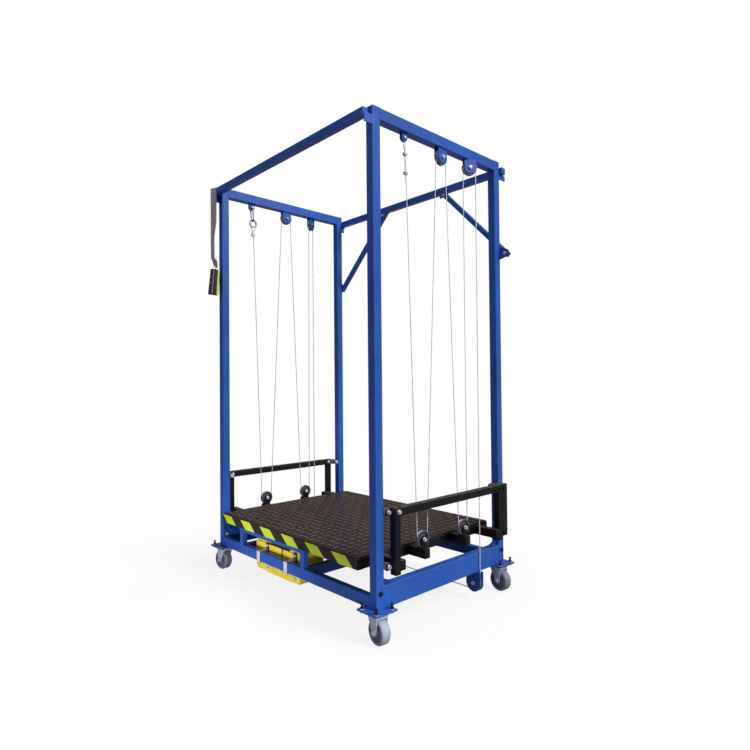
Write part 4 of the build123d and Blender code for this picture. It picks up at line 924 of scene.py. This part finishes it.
def screw(mesh, centre, outward, radius, height):
    """Round screw head with a recess in its middle."""
    outward = Vector(outward)
    side, up = across_of(outward)
    turns = [2 * pi * corner / SCREW_CORNERS for corner in range(SCREW_CORNERS)]
    shape = [(1.0, -SCREW_SUNK)]
    shape += [(size, height * share) for size, share in SCREW_PROFILE]
    rings = []
    for size, level in shape:
        base = Vector(centre) + outward * level
        rings.append([base + (side * cos(t) + up * sin(t)) * (radius * size) for t in turns])
    skin_rings(mesh, rings)


def make_caps(material):
    """Welded caps on the ends of the cross beams and the portal bar."""
    mesh = bmesh.new()
    for ends, y, z in CROSS_BEAMS:
        for x, way in zip(ends, (-1, 1)):
            plate(mesh, (x, y, z), (way, 0, 0), CAP_SIZE, CAP_RADIUS, CAP_HEIGHT)
    for x, way in zip(PORTAL_END_X, (-1, 1)):
        plate(mesh, (x, *PORTAL_BAR_AT), (way, 0, 0), PORTAL_CAP_SIZE, CAP_RADIUS, CAP_HEIGHT)
    smooth_edges(add_piece("beam_caps", mesh, "frame", material))


def spread(count, pitch):
    """Places of a row of pieces on both sides of its middle."""
    return [(number - (count - 1) / 2) * pitch for number in range(count)]


def hoist_covers():
    """End cover, front covers, cooling ribs and fan grille of the hoist."""
    mesh = bmesh.new()
    y = sum(HOIST_Y) / 2
    z = sum(HOIST_Z) / 2
    end = (HOIST_X[0], y, z)
    plate(mesh, end, LEFT, END_COVER_SIZE, END_COVER_RADIUS, END_COVER_HEIGHT, COVER_SOFT_EDGE)
    low, high = HOIST_COVER_Z
    for left, right in HOIST_COVERS:
        middle = ((left + right) / 2, HOIST_Y[0] + HOIST_COVER_SUNK, (low + high) / 2)
        size = (right - left, high - low)
        plate(mesh, middle, FORWARD, size, HOIST_COVER_RADIUS, HOIST_COVER_HEIGHT, COVER_SOFT_EDGE)
    for rise in spread(MOTOR_RIBS, MOTOR_RIB_PITCH):
        middle = (MOTOR_MIDDLE_X, HOIST_Y[1], z + rise)
        plate(mesh, middle, BACK, MOTOR_RIB_SIZE, MOTOR_RIB_RADIUS, MOTOR_RIB_HEIGHT)
    for rise in spread(GRILLE_BARS, GRILLE_PITCH):
        middle = (HOIST_X[1], y, z + rise)
        plate(mesh, middle, RIGHT, GRILLE_BAR_SIZE, GRILLE_BAR_RADIUS, GRILLE_BAR_HEIGHT)
    return mesh


def hoist_screws():
    """Screws of the hoist's end cover."""
    mesh = bmesh.new()
    x = HOIST_X[0] - END_COVER_HEIGHT
    y = sum(HOIST_Y) / 2
    z = sum(HOIST_Z) / 2
    for dy in END_SCREWS_Y:
        for dz in END_SCREWS_Z:
            screw(mesh, (x, y + dy, z + dz), LEFT, END_SCREW_RADIUS, END_SCREW_HEIGHT)
    return mesh


def make_hoist_fittings(yellow, zinc):
    """Covers, ribs, grille and screws of the hoist."""
    smooth_edges(add_piece("hoist_covers", hoist_covers(), "frame", yellow))
    smooth_edges(add_piece("hoist_screws", hoist_screws(), "frame", zinc))


def make_post_nuts(zinc):
    """Round nuts of the post bolts on the inner faces of the posts."""
    mesh = bmesh.new()
    for x_sign in (-1, 1):
        for y_sign in (-1, 1):
            at = (x_sign * (POST_X - POST_HALF), y_sign * POST_Y, POST_BOLT_Z)
            screw(mesh, at, (-x_sign, 0, 0), POST_NUT_RADIUS, POST_NUT_HEIGHT)
    smooth_edges(add_piece("post_nuts", mesh, "frame", zinc))


def make_clamp_fittings(dark, zinc):
    """Face plates and bolts of the hoist's clamps, and dark stays up the front of its case; the narrow
    middle one is a painted shadow in a gap between covers.
    """
    faces = bmesh.new()
    stays_and_gap_shade = bmesh.new()
    for x in CLAMP_X:
        middle = (x, CLAMP_FRONT_Y, CLAMP_MIDDLE_Z)
        plate(faces, middle, FORWARD, CLAMP_FACE_SIZE, CLAMP_CORNER, CLAMP_FACE_HEIGHT)
        for z in CLAMP_BOLT_Z:
            screw(faces, (x, HOIST_Y[0], z), FORWARD, CLAMP_BOLT_RADIUS, CLAMP_BOLT_HEIGHT)
    for x, width in STAYS_AND_GAP_SHADE:
        middle = (x, HOIST_Y[0], STAY_MIDDLE_Z)
        plate(stays_and_gap_shade, middle, FORWARD, (width, STAY_LENGTH), CLAMP_CORNER, STAY_HEIGHT)
    smooth_edges(add_piece("clamp_faces", faces, "frame", zinc))
    smooth_edges(add_piece("clamp_stays_and_gap_shade", stays_and_gap_shade, "frame", dark))


def control_point(across, out, down):
    """Point on the tilted hand control: across, in front of its middle plane and below its top."""
    x = CONTROL_AT[0] + across * cos(CONTROL_TILT) - down * sin(CONTROL_TILT)
    z = CONTROL_AT[2] - across * sin(CONTROL_TILT) - down * cos(CONTROL_TILT)
    return Vector((x, CONTROL_AT[1] - out, z))


def control_slab(mesh, outline, out, height):
    """Flat raised shape on the front of the hand control; outline points are (across, down)."""
    levels = (-SLAB_SUNK, height)
    rings = [[control_point(a, out + level, d) for a, d in outline] for level in levels]
    skin_rings(mesh, rings)


def control_ring():
    """Wire ring that the hand control hangs on."""
    mesh = bmesh.new()
    turns = [2 * pi * corner / RING_CORNERS for corner in range(RING_CORNERS)]
    rings = []
    for step in range(RING_STEPS + 1):
        turn = 2 * pi * step / RING_STEPS
        out = Vector((cos(turn), 0, sin(turn)))
        centre = Vector(RING_AT) + Vector((RING_HALF[0] * cos(turn), 0, RING_HALF[1] * sin(turn)))
        rings.append([centre + (out * cos(t) + Vector(BACK) * sin(t)) * RING_WIRE for t in turns])
    skin_rings(mesh, rings)
    return mesh


def make_control_fittings(strip, mark, zinc):
    """Metal strip, button arrows and hanging ring of the hand control."""
    face = CONTROL_HALF_DEPTH
    mesh = bmesh.new()
    corners = rounded_outline(*STRIP_SIZE, STRIP_RADIUS)
    outline = [(a + STRIP_AT[0], d + STRIP_AT[1]) for a, d in corners]
    control_slab(mesh, outline, face, STRIP_HEIGHT)
    add_piece("control_strip", mesh, "frame", strip)
    for name, down, way in BUTTONS:
        arrow = bmesh.new()
        back = down - way * ARROW_BACK
        tip = [(-ARROW_HALF_WIDTH, back), (ARROW_HALF_WIDTH, back), (0.0, down + way * ARROW_TIP)]
        control_slab(arrow, tip, face + BUTTON_PROUD, ARROW_HEIGHT)
        add_piece(f"{name}_arrow", arrow, name, mark)
    smooth(add_piece("control_ring", control_ring(), "frame", zinc))


# Materials on CAD nodes

def box_centre(node):
    """Middle of a node's box."""
    low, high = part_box(node)
    return [(a + b) / 2 for a, b in zip(low, high)]


def dress(names, material):
    """Gives CAD nodes a material."""
    for name in names:
        slots = NODES[name].data.materials
        slots.clear()
        slots.append(material)


def wheel_axis(end, side):
    """Axle direction of a caster wheel."""
    angle = radians(AXLE_TURNS[end])
    sign = -1 if side == "right" else 1
    return (sign * sin(angle), cos(angle), 0.0)


def sheave_axis(name):
    """Pin direction of a sheave."""
    if "rear_top" in name:
        sign = 1 if name.startswith("right") else -1
        return (cos(TURNED_ANGLE), -sign * sin(TURNED_ANGLE), 0.0)
    if "base" in name:
        return (0.0, 1.0, 0.0)
    if "lead" in name:
        return (0.0, 0.0, 1.0)
    return (1.0, 0.0, 0.0)


def dress_nodes(blue, black, yellow):
    """Materials of all CAD nodes."""
    dress([name for name in NODES if name.endswith(("_post", "_beam"))], blue)
    dress(["knee_braces", "frame_plates", "winch_cradle"], blue)
    dress(["deck_frame", "left_side_frame", "right_side_frame", "platform_blocks"], black)
    dress(["frame_hardware"], bolt_steel("frame_bolts", frame_masks))
    dress(["platform_bolts"], bolt_steel("platform_bolts", platform_masks))
    dress(["winch_case"], yellow)
    dress(["winch_drum"], metal("drum_steel", DARK_STEEL))
    dress(["deck_mat"], rubber("mat_rubber", RUBBER, 0.4))
    dress(["pendant_case"], control_plastic())
    dress(["up_button", "down_button"], plastic("button_plastic", BUTTON_GREY))
    dress([name for name in NODES if name.endswith("_fork")], metal("fork_zinc", FORK_ZINC, metallic=0.0))
    dress([name for name in NODES if name.endswith("_roller")], plastic("nylon", ROLLER_GREY))
    for name in NODES:
        if name.endswith("_sheave"):
            dress([name], sheave_steel(name, box_centre(name), sheave_axis(name)))
        if name.endswith("_wheel"):
            end, side, _ = name.split("_")
            # Painted shade: the rear wheels get a darker tread than the front ones
            tread = TREAD_GREY if end == "front" else SHADED_REAR_TREAD
            dress([name], wheel_rubber(name, box_centre(name), wheel_axis(end, side), tread))


# Studio

def make_floor():
    """Pale floor that shows soft shadows."""
    bpy.ops.mesh.primitive_plane_add(size=FLOOR_SIZE)
    floor = bpy.context.object
    floor.name = "floor"
    shader = Shader("floor")
    tone = shader.clouds(0.8, 2.0)
    base = shader.mix(tone, *FLOOR_TONES)
    seen = shader.add("ShaderNodeLightPath").outputs["Is Camera Ray"]
    shader.close(base_color=shader.mix(seen, base, FLOOR_SEEN), roughness=0.9)
    light = shader.add("ShaderNodeEmission", {"Color": (*WHITE, 1.0), "Strength": 1.0})
    away = shader.vector("LENGTH", shader.place, (0.0, 0.0, 0.0), "Value")
    share = shader.math("MULTIPLY", seen, shader.span(away, *FLOOR_FADE, *FLOOR_GLOW))
    both = shader.add("ShaderNodeMixShader", {0: share, 1: shader.surface.outputs[0], 2: light.outputs[0]})
    shader.put(shader.tree.nodes["Material Output"].inputs["Surface"], both.outputs[0])
    floor.data.materials.append(shader.material)


def add_background(tree, colour, strength):
    """One even background of the world."""
    node = tree.nodes.new("ShaderNodeBackground")
    node.inputs["Color"].default_value = (*colour, 1.0)
    node.inputs["Strength"].default_value = strength
    return node.outputs[0]


def mix_shaders(tree, share, first, second):
    """Shader between two shaders."""
    node = tree.nodes.new("ShaderNodeMixShader")
    for socket, value in zip(node.inputs, (share, first, second)):
        tree.links.new(value, socket)
    return node.outputs[0]


def make_world():
    """Even soft light, seen as white by the camera and as a white backdrop in reflections."""
    world = bpy.data.worlds.new("studio")
    bpy.context.scene.world = world
    world.use_nodes = True
    tree = world.node_tree
    ray = tree.nodes.new("ShaderNodeLightPath")
    direction = tree.nodes.new("ShaderNodeSeparateXYZ")
    tree.links.new(tree.nodes.new("ShaderNodeTexCoord").outputs["Generated"], direction.inputs[0])
    behind = tree.nodes.new("ShaderNodeMapRange")
    behind.inputs["From Min"].default_value = BACKDROP_EDGE[0]
    behind.inputs["From Max"].default_value = BACKDROP_EDGE[1]
    tree.links.new(direction.outputs["Y"], behind.inputs["Value"])
    soft = add_background(tree, AMBIENT_COLOUR, AMBIENT_STRENGTH)
    pale = add_background(tree, WHITE, BACKDROP_STRENGTH)
    backdrop = mix_shaders(tree, behind.outputs[0], soft, pale)
    lit = mix_shaders(tree, ray.outputs["Is Glossy Ray"], soft, backdrop)
    white = add_background(tree, WHITE, 1.0)
    seen = mix_shaders(tree, ray.outputs["Is Camera Ray"], lit, white)
    tree.links.new(seen, tree.nodes["World Output"].inputs["Surface"])


def add_sun(name, azimuth, elevation, strength, softness, colour):
    """Soft light from far away; azimuth zero comes from the front and 90 from the right."""
    data = bpy.data.lights.new(name, "SUN")
    data.energy = strength
    data.color = colour
    data.angle = radians(softness)
    lamp = bpy.data.objects.new(name, data)
    bpy.context.collection.objects.link(lamp)
    turn = radians(azimuth)
    rise = radians(elevation)
    source = Vector((sin(turn) * cos(rise), -cos(turn) * cos(rise), sin(rise)))
    lamp.rotation_euler = source.to_track_quat("Z", "Y").to_euler()


def add_low_spot(place, target, power, cone):
    """Soft light from low down, as a white floor throws it back."""
    data = bpy.data.lights.new("low_spot", "SPOT")
    data.energy = power
    data.spot_size = radians(cone)
    data.spot_blend = 1.0
    data.shadow_soft_size = LOW_SPOT_RADIUS
    lamp = bpy.data.objects.new("low_spot", data)
    bpy.context.collection.objects.link(lamp)
    lamp.location = place
    away = Vector(place) - Vector(target)
    lamp.rotation_euler = away.to_track_quat("Z", "Y").to_euler()


def make_camera():
    """Camera at the place and angle of the picture."""
    yaw, pitch, roll = (radians(angle) for angle in (CAMERA_YAW, CAMERA_PITCH, CAMERA_ROLL))
    ahead = Vector((-sin(yaw) * cos(pitch), cos(yaw) * cos(pitch), sin(pitch)))
    right = Vector((cos(yaw), sin(yaw), 0))
    up = right.cross(ahead)
    level_x = right * cos(roll) + up * sin(roll)
    level_y = up * cos(roll) - right * sin(roll)
    data = bpy.data.cameras.new("camera")
    data.lens = CAMERA_LENS
    data.sensor_width = CAMERA_SENSOR
    data.clip_end = CAMERA_CLIP_END
    camera = bpy.data.objects.new("camera", data)
    bpy.context.collection.objects.link(camera)
    turn = Matrix((level_x, level_y, -ahead)).transposed().to_4x4()
    camera.matrix_world = Matrix.Translation(CAMERA_AT) @ turn
    bpy.context.scene.camera = camera


# Making everything

blue = paint("blue_paint", BLUE)
# Black paint: heavy brown dust on top faces, which also stands in for a painted sheen
black = paint("black_paint", BLACK, 0.55, 0.35, 0.42, coat=0.05, shine=0.3, dust_colour=BROWN_DUST_AND_SHEEN)
yellow = paint("yellow_paint", YELLOW, wear_and_highlight=0.4, roughness=0.4)
zinc = metal("zinc", ZINC)
dress_nodes(blue, black, yellow)
make_welds(blue)
make_caps(paint("cap_paint", BLUE, wear_and_highlight=0.1, roughness=0.6, coat=0.0, shine=0.2))
make_hoist_fittings(yellow, zinc)
make_post_nuts(zinc)
stay_and_gap_shade_steel = metal("stay_and_gap_shade_steel", STAY_AND_GAP_SHADE_STEEL, metallic=0.2)
make_clamp_fittings(stay_and_gap_shade_steel, metal("clamp_zinc", ZINC, metallic=0.1))
make_control_fittings(metal("strip_metal", STRIP_GREY, metallic=0.2), plastic("mark", STRIP_GREY), zinc)
rope = rope_steel()
dress(["hoist_ropes", "platform_rope_bends"], rope)
make_falls(rope)
make_strap(webbing())
make_mat_bars(bar_rubber())
lime_tape = paint("lime_tape", LIME, 0.05, wear_and_highlight=0.2, roughness=0.45)
make_tape("lime_tape", STRIPE_START, STRIPE_WIDTH, lime_tape)
black_tape = paint("black_tape", TAPE_BLACK, 0.05, wear_and_highlight=0.2, roughness=0.45)
make_tape("black_tape", STRIPE_START + STRIPE_WIDTH, STRIPE_PITCH - STRIPE_WIDTH, black_tape)
make_floor()
make_world()
for sun in SUNS:
    add_sun(*sun)
for spot in LOW_SPOTS:
    add_low_spot(*spot)
make_camera()
bpy.context.scene.view_settings.view_transform = "Standard"
